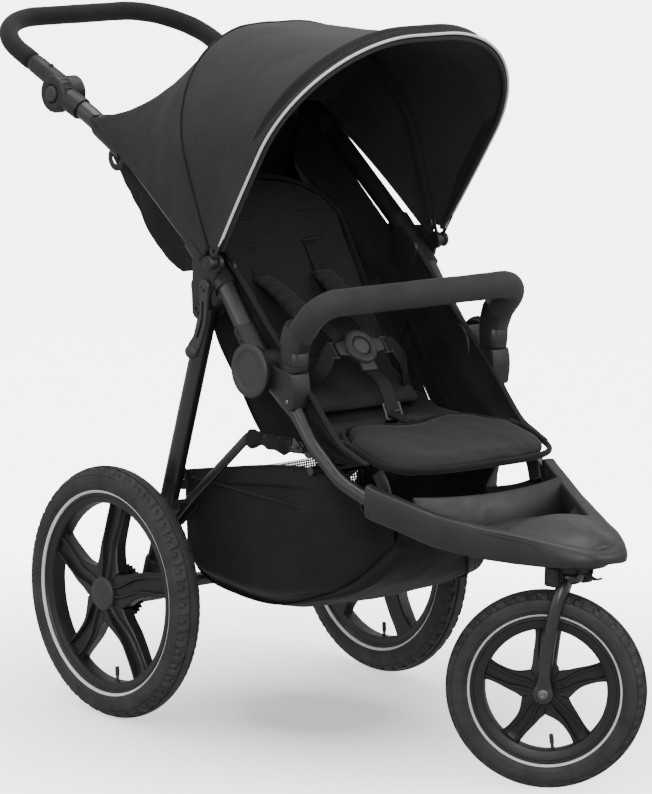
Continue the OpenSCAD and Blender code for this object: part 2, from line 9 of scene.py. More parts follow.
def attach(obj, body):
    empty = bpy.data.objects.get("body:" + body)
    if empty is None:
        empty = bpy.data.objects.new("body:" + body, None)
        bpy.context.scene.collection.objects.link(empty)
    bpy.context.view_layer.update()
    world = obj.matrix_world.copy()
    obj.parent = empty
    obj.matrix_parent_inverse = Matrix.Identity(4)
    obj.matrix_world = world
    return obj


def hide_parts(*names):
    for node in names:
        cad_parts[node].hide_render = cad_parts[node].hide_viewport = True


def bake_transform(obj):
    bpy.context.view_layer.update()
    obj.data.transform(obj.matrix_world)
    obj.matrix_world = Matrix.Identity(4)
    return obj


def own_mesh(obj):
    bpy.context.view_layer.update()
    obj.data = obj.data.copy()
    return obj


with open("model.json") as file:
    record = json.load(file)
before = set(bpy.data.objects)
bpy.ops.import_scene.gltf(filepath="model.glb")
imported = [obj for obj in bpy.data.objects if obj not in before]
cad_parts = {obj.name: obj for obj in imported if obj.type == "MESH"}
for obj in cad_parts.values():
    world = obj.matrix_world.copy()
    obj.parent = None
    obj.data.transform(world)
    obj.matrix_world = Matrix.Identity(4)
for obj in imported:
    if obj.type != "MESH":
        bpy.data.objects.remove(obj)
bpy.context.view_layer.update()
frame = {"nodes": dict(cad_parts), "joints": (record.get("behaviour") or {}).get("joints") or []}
JOINTS = {j["name"]: j for j in frame["joints"]}
SCENE = bpy.context.scene


# ---- places ------------------------------------------------------------------------
# Sizes are in millimetres, from the point on the ground under the rear axle.

AXLE_Y = JOINTS["rear_spin_left"]["pos_m"][1]


def at(x, y, z):
    """A point given in millimetres from the rear axle's ground point, in metres in the row frame."""
    return Vector((x / 1000, y / 1000 + AXLE_Y, z / 1000))


def pivot(joint):
    """Where a joint's axis crosses the middle plane, as (y, z) in millimetres."""
    x, y, z = JOINTS[joint]["pos_m"]
    return (y - AXLE_Y) * 1000, z * 1000


HUB = pivot("frame_fold")
BRACKET = pivot("leg_fold")
BRACE_TOP = pivot("brace_fold_left")
KNUCKLE = pivot("handle_tilt")
CANOPY = pivot("canopy_fold")
RECLINE = pivot("backrest_recline")
SIDES = (("left", 1), ("right", -1))


# ---- materials ---------------------------------------------------------------------
class Shader:
    """A small builder for procedural materials."""

    def __init__(self, name, colour, roughness, **sockets):
        self.mat = bpy.data.materials.new(name)
        self.mat.use_nodes = True
        self.tree = self.mat.node_tree
        self.bsdf = self.tree.nodes["Principled BSDF"]
        self.bsdf.inputs["Base Color"].default_value = (*colour, 1)
        self.bsdf.inputs["Roughness"].default_value = roughness
        for key, value in sockets.items():
            self.bsdf.inputs[key.replace("_", " ")].default_value = value
        self.height = None

    def node(self, kind, **values):
        n = self.tree.nodes.new(kind)
        for key, value in values.items():
            if key in n.inputs:
                n.inputs[key].default_value = value
            else:
                setattr(n, key, value)
        return n

    def link(self, a, b):
        self.tree.links.new(a, b)

    def coords(self, scale=(1, 1, 1), source="Object", turn=(0, 0, 0)):
        c = self.node("ShaderNodeTexCoord")
        m = self.node("ShaderNodeMapping")
        m.inputs["Scale"].default_value = scale
        m.inputs["Rotation"].default_value = turn
        self.link(c.outputs[source], m.inputs["Vector"])
        return m.outputs["Vector"]

    def noise(self, scale, detail=3, vector=None, roughness=0.55):
        n = self.node("ShaderNodeTexNoise", Scale=scale, Detail=detail, Roughness=roughness)
        self.link(vector or self.coords(), n.inputs["Vector"])
        return n.outputs["Fac"]

    def wave(self, scale, direction, vector=None, distortion=0.0):
        n = self.node("ShaderNodeTexWave", wave_type="BANDS", bands_direction=direction)
        n.inputs["Scale"].default_value = scale
        n.inputs["Distortion"].default_value = distortion
        self.link(vector or self.coords(), n.inputs["Vector"])
        return n.outputs["Fac"]

    def math(self, operation, a, b=None, clamp=False):
        n = self.node("ShaderNodeMath", operation=operation, use_clamp=clamp)
        for i, value in enumerate((a, b)):
            if value is None:
                continue
            if isinstance(value, (int, float)):
                n.inputs[i].default_value = value
            else:
                self.link(value, n.inputs[i])
        return n.outputs[0]

    def span(self, value, low, high, to_low, to_high):
        n = self.node("ShaderNodeMapRange")
        for key, v in (("From Min", low), ("From Max", high), ("To Min", to_low), ("To Max", to_high)):
            n.inputs[key].default_value = v
        self.link(value, n.inputs["Value"])
        return n.outputs["Result"]

    def vary_colour(self, value, low, high, a, b):
        """Base colour from a to b as value goes from low to high."""
        r = self.node("ShaderNodeValToRGB")
        r.color_ramp.elements[0].position = low
        r.color_ramp.elements[1].position = high
        r.color_ramp.elements[0].color = (*a, 1)
        r.color_ramp.elements[1].color = (*b, 1)
        self.link(value, r.inputs["Fac"])
        self.link(r.outputs["Color"], self.bsdf.inputs["Base Color"])

    def vary_roughness(self, value, low, high):
        self.link(self.span(value, 0.3, 0.7, low, high), self.bsdf.inputs["Roughness"])

    def bump(self, value, distance, strength=1.0):
        n = self.node("ShaderNodeBump", Strength=strength, Distance=distance)
        self.link(value, n.inputs["Height"])
        if self.height is not None:
            self.link(self.height, n.inputs["Normal"])
        self.height = n.outputs["Normal"]
        self.link(self.height, self.bsdf.inputs["Normal"])


def grey(v, tint=0.0):
    return (v, v * (1 + tint * 0.3), v * (1 + tint))


def woven(name, shade, thread=0.9, roughness=0.82, sheen=0.06, source="Object", dirt=0.35):
    """Plain-weave cloth: two crossed sets of threads, slubs, and broad patches of tone."""
    s = Shader(name, grey(shade), roughness, Sheen_Weight=sheen, Sheen_Roughness=0.45,
               Specular_IOR_Level=0.18)
    fine, long = 1000 / thread, 90 / thread
    across = s.noise(1.0, 1, s.coords((long, fine, fine), source))
    along = s.noise(1.0, 1, s.coords((fine, long, long), source))
    weave = s.math("ADD", across, along)
    slub = s.noise(420, 2, s.coords((1, 1, 0.25), source))
    broad = s.noise(9, 4)
    mix = s.math("ADD", s.math("MULTIPLY", weave, 0.18), s.math("MULTIPLY", broad, 0.64))
    s.vary_colour(mix, 0.25, 0.8, grey(shade * (1 - dirt)), grey(shade * (1 + dirt)))
    s.vary_roughness(slub, roughness - 0.08, min(1, roughness + 0.08))
    s.bump(weave, 0.0004, 0.35)
    s.bump(slub, 0.0005, 0.25)
    s.bump(s.noise(38, 4), 0.002, 0.30)
    return s.mat


def moulded(name, shade, roughness=0.42, grain=900, depth=0.00012, tint=0.0):
    """Satin moulded plastic: a fine spark-eroded grain, soft flow marks, patches of differing gloss."""
    s = Shader(name, grey(shade, tint), roughness, Specular_IOR_Level=0.38)
    fine = s.noise(grain, 2)
    flow = s.noise(14, 3)
    s.vary_colour(flow, 0.3, 0.7, grey(shade * 0.85, tint), grey(shade * 1.2, tint))
    s.vary_roughness(s.noise(45, 4), roughness - 0.06, roughness + 0.10)
    s.bump(fine, depth, 0.5)
    s.bump(s.noise(30, 2), 0.0004, 0.15)
    return s.mat


def coated(name, shade, roughness=0.33):
    """Powder-coated tube: orange peel and a thin gloss."""
    s = Shader(name, grey(shade, 0.02), roughness, Coat_Weight=0.25, Coat_Roughness=0.25,
               Specular_IOR_Level=0.55)
    s.vary_colour(s.noise(60, 3), 0.3, 0.7, grey(shade * 0.85), grey(shade * 1.25))
    s.vary_roughness(s.noise(90, 3), roughness - 0.05, roughness + 0.09)
    s.bump(s.noise(700, 2), 0.00012, 0.5)
    return s.mat


def foam(name, shade):
    """Closed-cell foam: small open pores over a soft, slightly lumpy skin."""
    s = Shader(name, grey(shade), 0.85, Sheen_Weight=0.06, Specular_IOR_Level=0.2)
    cells = s.node("ShaderNodeTexVoronoi", Scale=900.0)
    s.link(s.coords(), cells.inputs["Vector"])
    s.vary_colour(s.noise(16, 4), 0.3, 0.7, grey(shade * 0.8), grey(shade * 1.25))
    s.vary_roughness(s.noise(250, 2), 0.78, 0.95)
    s.bump(cells.outputs["Distance"], 0.0003, 0.6)
    s.bump(s.noise(55, 3), 0.0012, 0.25)
    return s.mat


def rubber(name, shade):
    s = Shader(name, grey(shade), 0.66, Specular_IOR_Level=0.28)
    s.vary_colour(s.noise(24, 5), 0.3, 0.72, grey(shade * 0.75), grey(shade * 1.5))
    s.vary_roughness(s.noise(70, 4), 0.52, 0.74)
    s.bump(s.noise(800, 2), 0.00015, 0.5)
    return s.mat


def metal(name, shade, roughness=0.3):
    s = Shader(name, grey(shade, 0.02), roughness, Metallic=1.0)
    s.vary_roughness(s.noise(160, 3), roughness - 0.06, roughness + 0.12)
    s.bump(s.noise(500, 2), 0.0001, 0.3)
    return s.mat


def netting(name, shade, cell=2.2):
    """Knitted mesh: a honeycomb of see-through holes between threads."""
    s = Shader(name, grey(shade), 0.8, Sheen_Weight=0.05, Specular_IOR_Level=0.2)
    v = s.coords(source="UV")
    k = 2 * math.pi * 1000 / cell / 20
    a = s.wave(k / 2 / math.pi * 3.1, "X", v)
    b = s.wave(k / 2 / math.pi * 3.1, "Y", v)
    hole = s.math("MULTIPLY", a, b)
    cut = s.math("GREATER_THAN", hole, 0.30)
    s.link(s.math("SUBTRACT", 1.0, s.math("MULTIPLY", cut, 0.75)), s.bsdf.inputs["Alpha"])
    s.vary_colour(s.noise(30, 3), 0.3, 0.7, grey(shade * 0.8), grey(shade * 1.3))
    s.bump(hole, 0.0006, 0.6)
    return s.mat


MAT = {
    "tyre": rubber("tyre_rubber", 0.026),
    "rim": moulded("rim_nylon", 0.011, 0.42),
    "tube": coated("powder_coat", 0.010),
    "foam": foam("grip_foam", 0.010),
    "bar_foam": foam("bumper_foam", 0.028),
    "canopy": woven("canopy_cloth", 0.024, 0.7, 0.8),
    "canopy_lining": woven("canopy_lining_cloth", 0.012, 0.7, 0.85),
    "seat": woven("seat_cloth", 0.014, 0.9),
    "pad": woven("pad_cloth", 0.020, 0.9),
    "panel": woven("panel_cloth", 0.008, 0.9),
    "basket": woven("basket_cloth", 0.010, 1.6, 0.7, 0.04),
    "web": woven("webbing_cloth", 0.010, 1.4, 0.6, 0.04),
    "net": netting("basket_net", 0.010),
    "steel": metal("zinc_steel", 0.6),
    "dark_steel": metal("black_bolt", 0.18, 0.35),
    "tray": moulded("tray_plastic", 0.017, 0.42, 1100),
    "plastic": moulded("black_plastic", 0.013, 0.42),
    "grey_plastic": moulded("grey_plastic", 0.030, 0.45),
    "clear_grey": moulded("buckle_grey", 0.055, 0.38),
    "piping": woven("reflective_piping", 0.62, 0.5, 0.45, 0.1, dirt=0.12),
    "ring": moulded("reflective_ring", 0.62, 0.35, 1500),
}


# ---- mesh tools --------------------------------------------------------------------
def smoothstep(t):
    t = min(1.0, max(0.0, t))
    return t * t * (3 - 2 * t)


def mesh(name, verts, faces, uvs=None, smooth=True):
    me = bpy.data.meshes.new(name)
    me.from_pydata([tuple(v) for v in verts], [], [tuple(f) for f in faces])
    me.update()
    if smooth:
        me.polygons.foreach_set("use_smooth", [True] * len(me.polygons))
    if uvs is not None:
        layer = me.uv_layers.new(name="UVMap")
        flat = np.array(uvs, float)[np.array([l.vertex_index for l in me.loops])]
        layer.data.foreach_set("uv", flat.ravel())
    ob = bpy.data.objects.new(name, me)
    SCENE.collection.objects.link(ob)
    return ob


def tidy_normals(ob):
    bm = bmesh.new()
    bm.from_mesh(ob.data)
    bmesh.ops.remove_doubles(bm, verts=bm.verts, dist=1e-6)
    bmesh.ops.recalc_face_normals(bm, faces=bm.faces)
    bm.to_mesh(ob.data)
    bm.free()
    return ob


def apply_modifiers(ob):
    deps = bpy.context.evaluated_depsgraph_get()
    me = bpy.data.meshes.new_from_object(ob.evaluated_get(deps))
    ob.modifiers.clear()
    ob.data = me
    return ob


def bevel(ob, width, segments=2, angle=35):
    """Rounds the edges sharper than angle; width in millimetres."""
    m = ob.modifiers.new("bevel", "BEVEL")
    m.width = width / 1000
    m.segments = segments
    m.limit_method = "ANGLE"
    m.angle_limit = math.radians(angle)
    m.harden_normals = False
    return apply_modifiers(ob)


def shade_by_angle(ob, angle=40):
    me = ob.data
    me.polygons.foreach_set("use_smooth", [True] * len(me.polygons))
    bm = bmesh.new()
    bm.from_mesh(me)
    for e in bm.edges:
        e.smooth = len(e.link_faces) != 2 or e.calc_face_angle(0) < math.radians(angle)
    bm.to_mesh(me)
    bm.free()
    return ob


def subdivide(ob, levels=1):
    m = ob.modifiers.new("subdivision", "SUBSURF")
    m.levels = m.render_levels = levels
    return apply_modifiers(ob)


def thicken(ob, by, offset=-1.0):
    """Gives a sheet a thickness, in millimetres."""
    m = ob.modifiers.new("thickness", "SOLIDIFY")
    m.thickness = by / 1000
    m.offset = offset
    m.use_even_offset = False
    return apply_modifiers(ob)


def join(name, parts):
    """One object from several."""
    bm = bmesh.new()
    for p in parts:
        base = len(bm.verts)
        bm.from_mesh(p.data)
        bm.verts.ensure_lookup_table()
        for v in bm.verts[base:]:
            v.co = p.matrix_world @ v.co
    me = bpy.data.meshes.new(name)
    bm.to_mesh(me)
    bm.free()
    for p in parts:
        bpy.data.objects.remove(p)
    ob = bpy.data.objects.new(name, me)
    SCENE.collection.objects.link(ob)
    return ob


def piece(ob, body, material, replaces=()):
    """Gives a finished mesh its material and its place in the frame."""
    ob.data.materials.clear()
    ob.data.materials.append(MAT[material])
    if body is not None:
        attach(ob, body)
    if replaces:
        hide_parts(*replaces)
    return ob


def rounded_path(points, radii, step=6.0):
    """A polyline in millimetres with its inner corners rounded to the radii, as even points."""
    pts = [Vector(p) for p in points]
    if isinstance(radii, (int, float)):
        radii = [radii] * (len(pts) - 2)
    out = [pts[0]]
    for p0, p1, p2, r in zip(pts, pts[1:], pts[2:], radii):
        a = (p0 - p1).normalized()
        b = (p2 - p1).normalized()
        angle = a.angle(b)
        reach = min(r / math.tan(angle / 2), (p0 - p1).length * 0.49, (p2 - p1).length * 0.49)
        r = reach * math.tan(angle / 2)
        centre = p1 + (a + b).normalized() * (r / math.sin(angle / 2))
        start = p1 + a * reach
        turn = math.pi - angle
        axis = (start - centre).cross(p1 + b * reach - centre).normalized()
        n = max(2, int(r * turn / step) + 1)
        for i in range(n + 1):
            out.append(centre + Matrix.Rotation(turn * i / n, 3, axis) @ (start - centre))
    out.append(pts[-1])
    return resample(out, step)


def resample(points, step):
    pts = [np.array(p, float) for p in points]
    keep = [pts[0]]
    for p in pts[1:]:
        if np.linalg.norm(p - keep[-1]) > 1e-6:
            keep.append(p)
    arr = np.array(keep)
    d = np.concatenate([[0], np.cumsum(np.linalg.norm(np.diff(arr, axis=0), axis=1))])
    n = max(2, int(round(d[-1] / step)) + 1)
    t = np.linspace(0, d[-1], n)
    return [Vector([np.interp(s, d, arr[:, k]) for k in range(3)]) for s in t]


def spline(points, n):
    """n points on a smooth curve through the given ones (Catmull-Rom)."""
    p = np.array([list(q) for q in points], float)
    p = np.vstack([2 * p[0] - p[1], p, 2 * p[-1] - p[-2]])
    spans = len(p) - 3
    out = []
    for i in range(n):
        u = i / (n - 1) * spans
        k = min(int(u), spans - 1)
        t = u - k
        a, b, c, d = p[k:k + 4]
        out.append(Vector(0.5 * (2 * b + (c - a) * t + (2 * a - 5 * b + 4 * c - d) * t * t
                                 + (3 * b - a - 3 * c + d) * t ** 3)))
    return out


class Curve:
    """A smooth curve through points, looked up by a parameter in 0..1."""

    def __init__(self, points, n=161):
        self.points = spline(points, n)

    def __call__(self, t):
        a = min(1.0, max(0.0, t)) * (len(self.points) - 1)
        k = min(int(a), len(self.points) - 2)
        return self.points[k].lerp(self.points[k + 1], a - k)


def frames(path, up=(0, 0, 1)):
    """Tangent, side and normal at each point, carried along without twist."""
    n = len(path)
    tangents = [(path[min(i + 1, n - 1)] - path[max(i - 1, 0)]).normalized() for i in range(n)]
    up = Vector(up)
    normal = (up - tangents[0] * up.dot(tangents[0])).normalized()
    out = []
    for t in tangents:
        normal = (normal - t * normal.dot(t)).normalized()
        out.append((t, t.cross(normal), normal))
    return out


def circle_section(sides=20, phase=0.0):
    return [(math.cos(phase + 2 * math.pi * k / sides), math.sin(phase + 2 * math.pi * k / sides))
            for k in range(sides)]


def sweep(name, path, radius, sides=20, up=(0, 0, 1), caps=True, section=None):
    """A tube along path, in millimetres. radius is a number or a function of 0..1 giving one
    number, or (half width, half height)."""
    section = section or circle_section(sides)
    verts, uvs = [], []
    n = len(path)
    run = 0.0
    for i, (p, (t, side, normal)) in enumerate(zip(path, frames(path, up))):
        r = radius(i / (n - 1)) if callable(radius) else radius
        a, b = r if isinstance(r, tuple) else (r, r)
        run += (path[i] - path[i - 1]).length / 1000 if i else 0
        for k, (u, v) in enumerate(section):
            verts.append(at(*(p + side * (u * a) + normal * (v * b))))
            uvs.append((k / len(section) * 2 * math.pi * a / 1000, run))
    m = len(section)
    faces = [(i * m + k, i * m + (k + 1) % m, (i + 1) * m + (k + 1) % m, (i + 1) * m + k)
             for i in range(n - 1) for k in range(m)]
    if caps:
        faces.append(tuple(reversed(range(m))))
        faces.append(tuple((n - 1) * m + k for k in range(m)))
    return tidy_normals(mesh(name, verts, faces, uvs))


def rounded_ends(r, path, cut):
    """Radius function for a tube along path whose two ends are rounded over."""
    length = sum((b - a).length for a, b in zip(path, path[1:]))

    def radius(t):
        s = min(t, 1 - t) * length
        return r - cut + math.sqrt(max(0.0, cut * cut - max(0.0, cut - s) ** 2))
    return radius


def lathe(name, profile, centre=(0, 0, 0), axis="X", turn=0.0, steps=64, closed=True):
    """Turns a profile of (radius, along) round an axis through centre, all in millimetres.
    axis X can be turned about Z by an angle in radians."""
    verts = []
    for i in range(steps):
        a = 2 * math.pi * i / steps
        for r, x in profile:
            if axis == "X":
                v = Matrix.Rotation(turn, 3, "Z") @ Vector((x, r * math.cos(a), r * math.sin(a)))
            else:
                v = Vector((r * math.cos(a), r * math.sin(a), x))
            verts.append(at(*(Vector(centre) + v)))
    m = len(profile)
    last = m if closed else m - 1
    faces = [(i * m + k, i * m + (k + 1) % m, (i + 1) % steps * m + (k + 1) % m, (i + 1) % steps * m + k)
             for i in range(steps) for k in range(last)]
    return tidy_normals(mesh(name, verts, faces))


def prism(name, outline, low, high, place):
    """A straight-sided solid; place puts a point (a, b, level) in the row frame."""
    n = len(outline)
    verts = [place(a, b, level) for level in (low, high) for a, b in outline]
    faces = [tuple(range(n)), tuple(range(2 * n - 1, n - 1, -1))]
    faces += [(k, (k + 1) % n, n + (k + 1) % n, n + k) for k in range(n)]
    return tidy_normals(mesh(name, verts, faces, smooth=False))


def slab(name, outline, x0, x1, soft=2.0, segments=2):
    """A plate with its outline in (y, z) and its faces at x0 and x1, edges rounded."""
    ob = prism(name, outline, x0, x1, lambda y, z, x: at(x, y, z))
    return shade_by_angle(bevel(ob, soft, segments))


def block(name, centre, size, soft=2.0, segments=2, turn=None):
    """A box with rounded edges, turned about its own middle."""
    verts = []
    for sx in (-0.5, 0.5):
        for sy in (-0.5, 0.5):
            for sz in (-0.5, 0.5):
                v = Vector((sx * size[0], sy * size[1], sz * size[2]))
                v = turn @ v if turn else v
                verts.append(at(*(Vector(centre) + v)))
    faces = [(0, 1, 3, 2), (4, 6, 7, 5), (0, 4, 5, 1), (2, 3, 7, 6), (0, 2, 6, 4), (1, 5, 7, 3)]
    ob = tidy_normals(mesh(name, verts, faces, smooth=False))
    return shade_by_angle(bevel(ob, soft, segments))


def round_outline(points, radius, steps=5):
    """A closed outline of (a, b) points with its corners rounded."""
    out = []
    n = len(points)
    radii = radius if hasattr(radius, "__len__") else [radius] * n
    for i in range(n):
        p0, p1, p2 = (Vector((*points[(i + k) % n], 0)) for k in (-1, 0, 1))
        a, b = (p0 - p1), (p2 - p1)
        reach = min(radii[i], a.length * 0.45, b.length * 0.45)
        s, e = p1 + a.normalized() * reach, p1 + b.normalized() * reach
        for k in range(steps + 1):
            t = k / steps
            q = s * (1 - t) ** 2 + p1 * (2 * t * (1 - t)) + e * t * t
            out.append((q.x, q.y))
    return out


def bolt(name, centre, r=5, height=3, side=1):
    """Hex-socket button head, facing along X."""
    s = side
    prof = [(0, 0), (r, 0), (r, s * height * 0.4), (r * 0.8, s * height), (r * 0.42, s * height),
            (r * 0.40, s * height * 0.35), (0, s * height * 0.3)]
    return shade_by_angle(lathe(name, prof, centre, steps=24, closed=False), 30)


# ---- wheels ------------------------------------------------------------------------
def ring_mesh(name, rows, place):
    """A closed tube of rows of (y, z, x) loops; place puts a local point in the row frame."""
    n, m = len(rows), len(rows[0])
    verts = [place(p) for row in rows for p in row]
    faces = [(i * m + k, i * m + (k + 1) % m, (i + 1) % n * m + (k + 1) % m, (i + 1) % n * m + k)
             for i in range(n) for k in range(m)]
    return tidy_normals(mesh(name, verts, faces))


def tyre_rows(r, w, lugs):
    """A worn block tread: centre rib, two waved grooves, and forked blocks on the shoulders."""
    core, minor = r - w / 2, w / 2
    per = 12
    angles = [-152, -142, -131, -120, -110, -108, -104, -102, -92, -82, -74, -66, -62, -61, -50, -42, -34,
              -33, -27, -21, -20, -15, -14, -7]
    angles = angles + [0] + [-a for a in reversed(angles)]
    rows = []
    for i in range(lugs * per):
        row = []
        cell, phase = divmod(i, per)
        for a in angles:
            side = 1 if a > 0 else -1
            b = abs(a)
            wobble = 0.34 * math.sin(2 * math.pi * phase / per + (math.pi if side < 0 else 0))
            shear = (0.10 * (b - 20) / 42 if b > 20 else 0.0) + (0.5 if side < 0 else 0)
            dip = 0.0
            if 20 < b < 61:
                # a forked groove: one arm crosses the shoulder, the other is half as long
                if phase in (0, 1, 2):
                    dip = 3.0
                if phase in (6, 7) and b > 40:
                    dip = 2.6
                if phase in (3, 4, 5) and 33 < b < 42:
                    dip = 2.4
            if 15 <= b <= 20:
                dip = 2.6
            if b in (104, 108):
                dip = -0.7
            if 61 < b < 63:
                dip = 0.9
            t = 2 * math.pi * (i + (shear + (wobble if 14 < b < 34 else 0)) * per / 2) / (lugs * per)
            bulge = minor - dip
            rad = core + bulge * math.cos(math.radians(a)) * (0.985 if b < 35 else 1.0)
            x = bulge * math.sin(math.radians(a))
            row.append((rad * math.cos(t), rad * math.sin(t), x))
        for a in (150, 120, 80, 40, 0, -40, -80, -120, -150):
            rad = core + (minor - 3.5) * math.cos(math.radians(a))
            t = 2 * math.pi * i / (lugs * per)
            row.append((rad * math.cos(t), rad * math.sin(t), (minor - 3.5) * math.sin(math.radians(a))))
        rows.append(row)
    return rows


def spoke(angle, r0, r1, width, face_in, face_out, depth, rib_in, rib_out, spread, curl):
    """One channel spoke as rows of (y, z, x) loops, from the hub to the rim barrel. It bows to
    one side by curl millimetres."""
    rows = []
    n = 26
    for i in range(n + 1):
        t = i / n
        r = r0 + (r1 - r0) * t
        edge = width / 2 + 26 * math.exp(-(r - r0) / spread) + 5 * math.exp(-(r1 - r) / 9)
        rib = rib_in + (rib_out - rib_in) * min(1, t * 1.25) ** 0.8
        edge = max(min(edge, r * math.tan(math.pi / 5) * 1.02), rib + 3.2)
        top = face_in + (face_out - face_in) * (t * t * (3 - 2 * t))
        web = top - 4.5
        well = web - (3.5 * min(1, max(0, (t - 0.12) * 6)) * min(1, (1 - t) * 8))
        back = top - depth * (1 - 0.25 * t)
        section = [(-edge, web - 2), (-edge + 1.4, web), (-rib - 2.6, web), (-rib - 1.6, top - 0.6),
                   (-rib - 1.0, top), (-rib + 1.0, top), (-rib + 1.6, top - 0.6), (-rib + 2.4, well),
                   (rib - 2.4, well), (rib - 1.6, top - 0.6), (rib - 1.0, top), (rib + 1.0, top),
                   (rib + 1.6, top - 0.6), (rib + 2.6, web), (edge - 1.4, web), (edge, web - 2),
                   (edge - 1.8, back + 2), (edge - 3.5, back), (-edge + 3.5, back), (-edge + 1.8, back + 2)]
        c, s = math.cos(angle), math.sin(angle)
        bow = curl * math.sin(math.pi * t ** 0.8) * smoothstep((t - 0.14) / 0.4)
        rows.append([(r * c - (v + bow) * s, r * s + (v + bow) * c, x) for v, x in section])
    return rows


def open_tube(name, rows, place):
    n, m = len(rows), len(rows[0])
    verts = [place(p) for row in rows for p in row]
    faces = [(i * m + k, i * m + (k + 1) % m, (i + 1) * m + (k + 1) % m, (i + 1) * m + k)
             for i in range(n - 1) for k in range(m)]
    faces += [tuple(reversed(range(m))), tuple((n - 1) * m + k for k in range(m))]
    return tidy_normals(mesh(name, verts, faces))


def lathe_rows(profile, steps=96):
    return [[(r * math.cos(2 * math.pi * i / steps), r * math.sin(2 * math.pi * i / steps), x)
             for r, x in profile] for i in range(steps)]


def wheel(tag, body, place, r, w, ring_r, phase, spec, replaced, way):
    """All the pieces of a wheel. place puts a local (y, z, x) point in the row frame; way is
    the sign of the spokes' bow."""
    core, minor = r - w / 2, w / 2
    tyre = ring_mesh("tyre_" + tag, tyre_rows(r, w, spec["lugs"]), place)
    shade_by_angle(tyre, 32)
    piece(tyre, body, "tyre", replaced[:1])

    # reflective ring on both sidewalls
    bands = []
    for s in (-1, 1):
        mid = math.asin((core - ring_r) / minor)
        around = [mid + d for d in np.linspace(-0.11, 0.11, 5)]
        prof = [(core - (minor + 0.45) * math.sin(b), s * (minor + 0.45) * math.cos(b)) for b in around]
        prof += [(core - (minor - 0.6) * math.sin(b), s * (minor - 0.6) * math.cos(b))
                 for b in reversed(around)]
        bands.append(ring_mesh("band", lathe_rows(prof, 160), place))
    piece(join("reflective_ring_" + tag, bands), body, "ring")

    # barrel with turned-out flanges
    seat = r - w + 4
    hook = ring_r - 3
    half = spec["flange"]
    inner = spec["barrel"]
    prof = [(hook, half), (hook - 1.5, half + 0.9), (hook - 3.5, half + 0.6), (hook - 5, half - 1.5),
            (inner + 5, half - 3.0), (inner + 1.5, half - 5), (inner, half - 9), (inner, 7 - half),
            (inner + 1.5, 5 - half), (inner + 5, 3 - half), (hook - 5, 1.5 - half),
            (hook - 3.5, -half - 0.6), (hook - 1.5, -half - 0.9), (hook, -half), (hook - 1, 3 - half), (inner + 4, 7 - half),
            (inner + 4, half - 7), (hook - 1, half - 3)]
    barrel = ring_mesh("barrel", lathe_rows(prof, 144), place)

    spokes = [open_tube("spoke", spoke(math.radians(phase + 72 * k), 14, inner + 2.5, spec["width"],
                                       spec["hub_face"], spec["rim_face"], spec["depth"], spec["rib_in"],
                                       spec["rib_out"], spec["spread"], way * spec["curl"]), place)
              for k in range(5)]
    f, b = spec["hub_face"], spec["hub_back"]
    hub_prof = [(8, f - 5), (27, f - 5), (28.5, f - 7), (29.5, f - 12), (27, b + 4), (25, b), (12, b - 1),
                (8, b - 1)]
    hub = ring_mesh("hub", lathe_rows(hub_prof, 72), place)
    rim = join("rim_" + tag, [barrel, hub] + spokes)
    shade_by_angle(rim, 33)
    piece(rim, body, "rim", replaced[1:2])

    # valve in its rim hole
    a = math.radians(spec["valve"])
    c, s = math.cos(a), math.sin(a)

    rows = []
    for rad, q in ((inner + 1, 4.2), (inner - 1.5, 4.2), (inner - 2, 2.6), (inner - 8, 2.6),
                   (inner - 8.5, 3.5), (inner - 21, 3.5), (inner - 23, 2.4)):
        rows.append([(rad * c - q * math.sin(k * math.pi / 6) * s,
                      rad * s + q * math.sin(k * math.pi / 6) * c,
                      q * math.cos(k * math.pi / 6)) for k in range(12)])
    piece(shade_by_angle(open_tube("valve_" + tag, rows, place), 40), body, "tyre")
    return tyre


def hub_cap(tag, body, place, x):
    prof = [(0.01, x), (16, x - 0.2), (24, x - 1.2), (26.6, x - 2.8), (27, x - 5), (26, x - 9),
            (0.01, x - 9)]
    ob = ring_mesh("hub_cap_" + tag, lathe_rows(prof, 72), place)
    piece(shade_by_angle(ob, 50), body, "grey_plastic")


def sprocket(tag, body, place, x0, x1, replaced):
    """The brake's toothed ring: hooked teeth, bored for the axle."""
    teeth = 30
    outer = []
    for k in range(teeth):
        for frac, rad in ((0.0, 37.5), (0.35, 37.5), (0.48, 42), (0.62, 42), (0.98, 37.5)):
            a = 2 * math.pi * (k + frac) / teeth
            outer.append((rad * math.cos(a), rad * math.sin(a)))
    n = len(outer)
    loops = []
    for x, scale in ((x0, 0.985), (x0 + 0.6, 1), (x1 - 0.6, 1), (x1, 0.985)):
        loops.append([(y * scale, z * scale, x) for y, z in outer])
    inner = [[(8 * math.cos(2 * math.pi * k / n), 8 * math.sin(2 * math.pi * k / n), x) for k in range(n)]
             for x in (x1, x0)]
    rows = loops + inner
    ob = ring_mesh("brake_sprocket_" + tag, rows, place)
    drum = ring_mesh("drum",
                     lathe_rows([(8, x1 - 1), (30, x1 - 1), (30, x1 + 3), (28, x1 + 9), (8, x1 + 9)], 64),
                     place)
    piece(shade_by_angle(join(ob.name + "_set", [ob, drum]), 30), body, "plastic", replaced)


REAR = {"lugs": 46, "flange": 17.5, "barrel": 141.5, "width": 37, "hub_face": 24, "rim_face": 9,
        "depth": 30, "rib_in": 5.5, "rib_out": 13.5, "spread": 22, "hub_back": -20, "valve": -95, "curl": 7}
FRONT = {"lugs": 28, "flange": 15.5, "barrel": 93, "width": 26, "hub_face": 17, "rim_face": 8, "depth": 21,
         "rib_in": 5.0, "rib_out": 9.5, "spread": 17, "hub_back": -14, "valve": -98, "curl": 3.5}

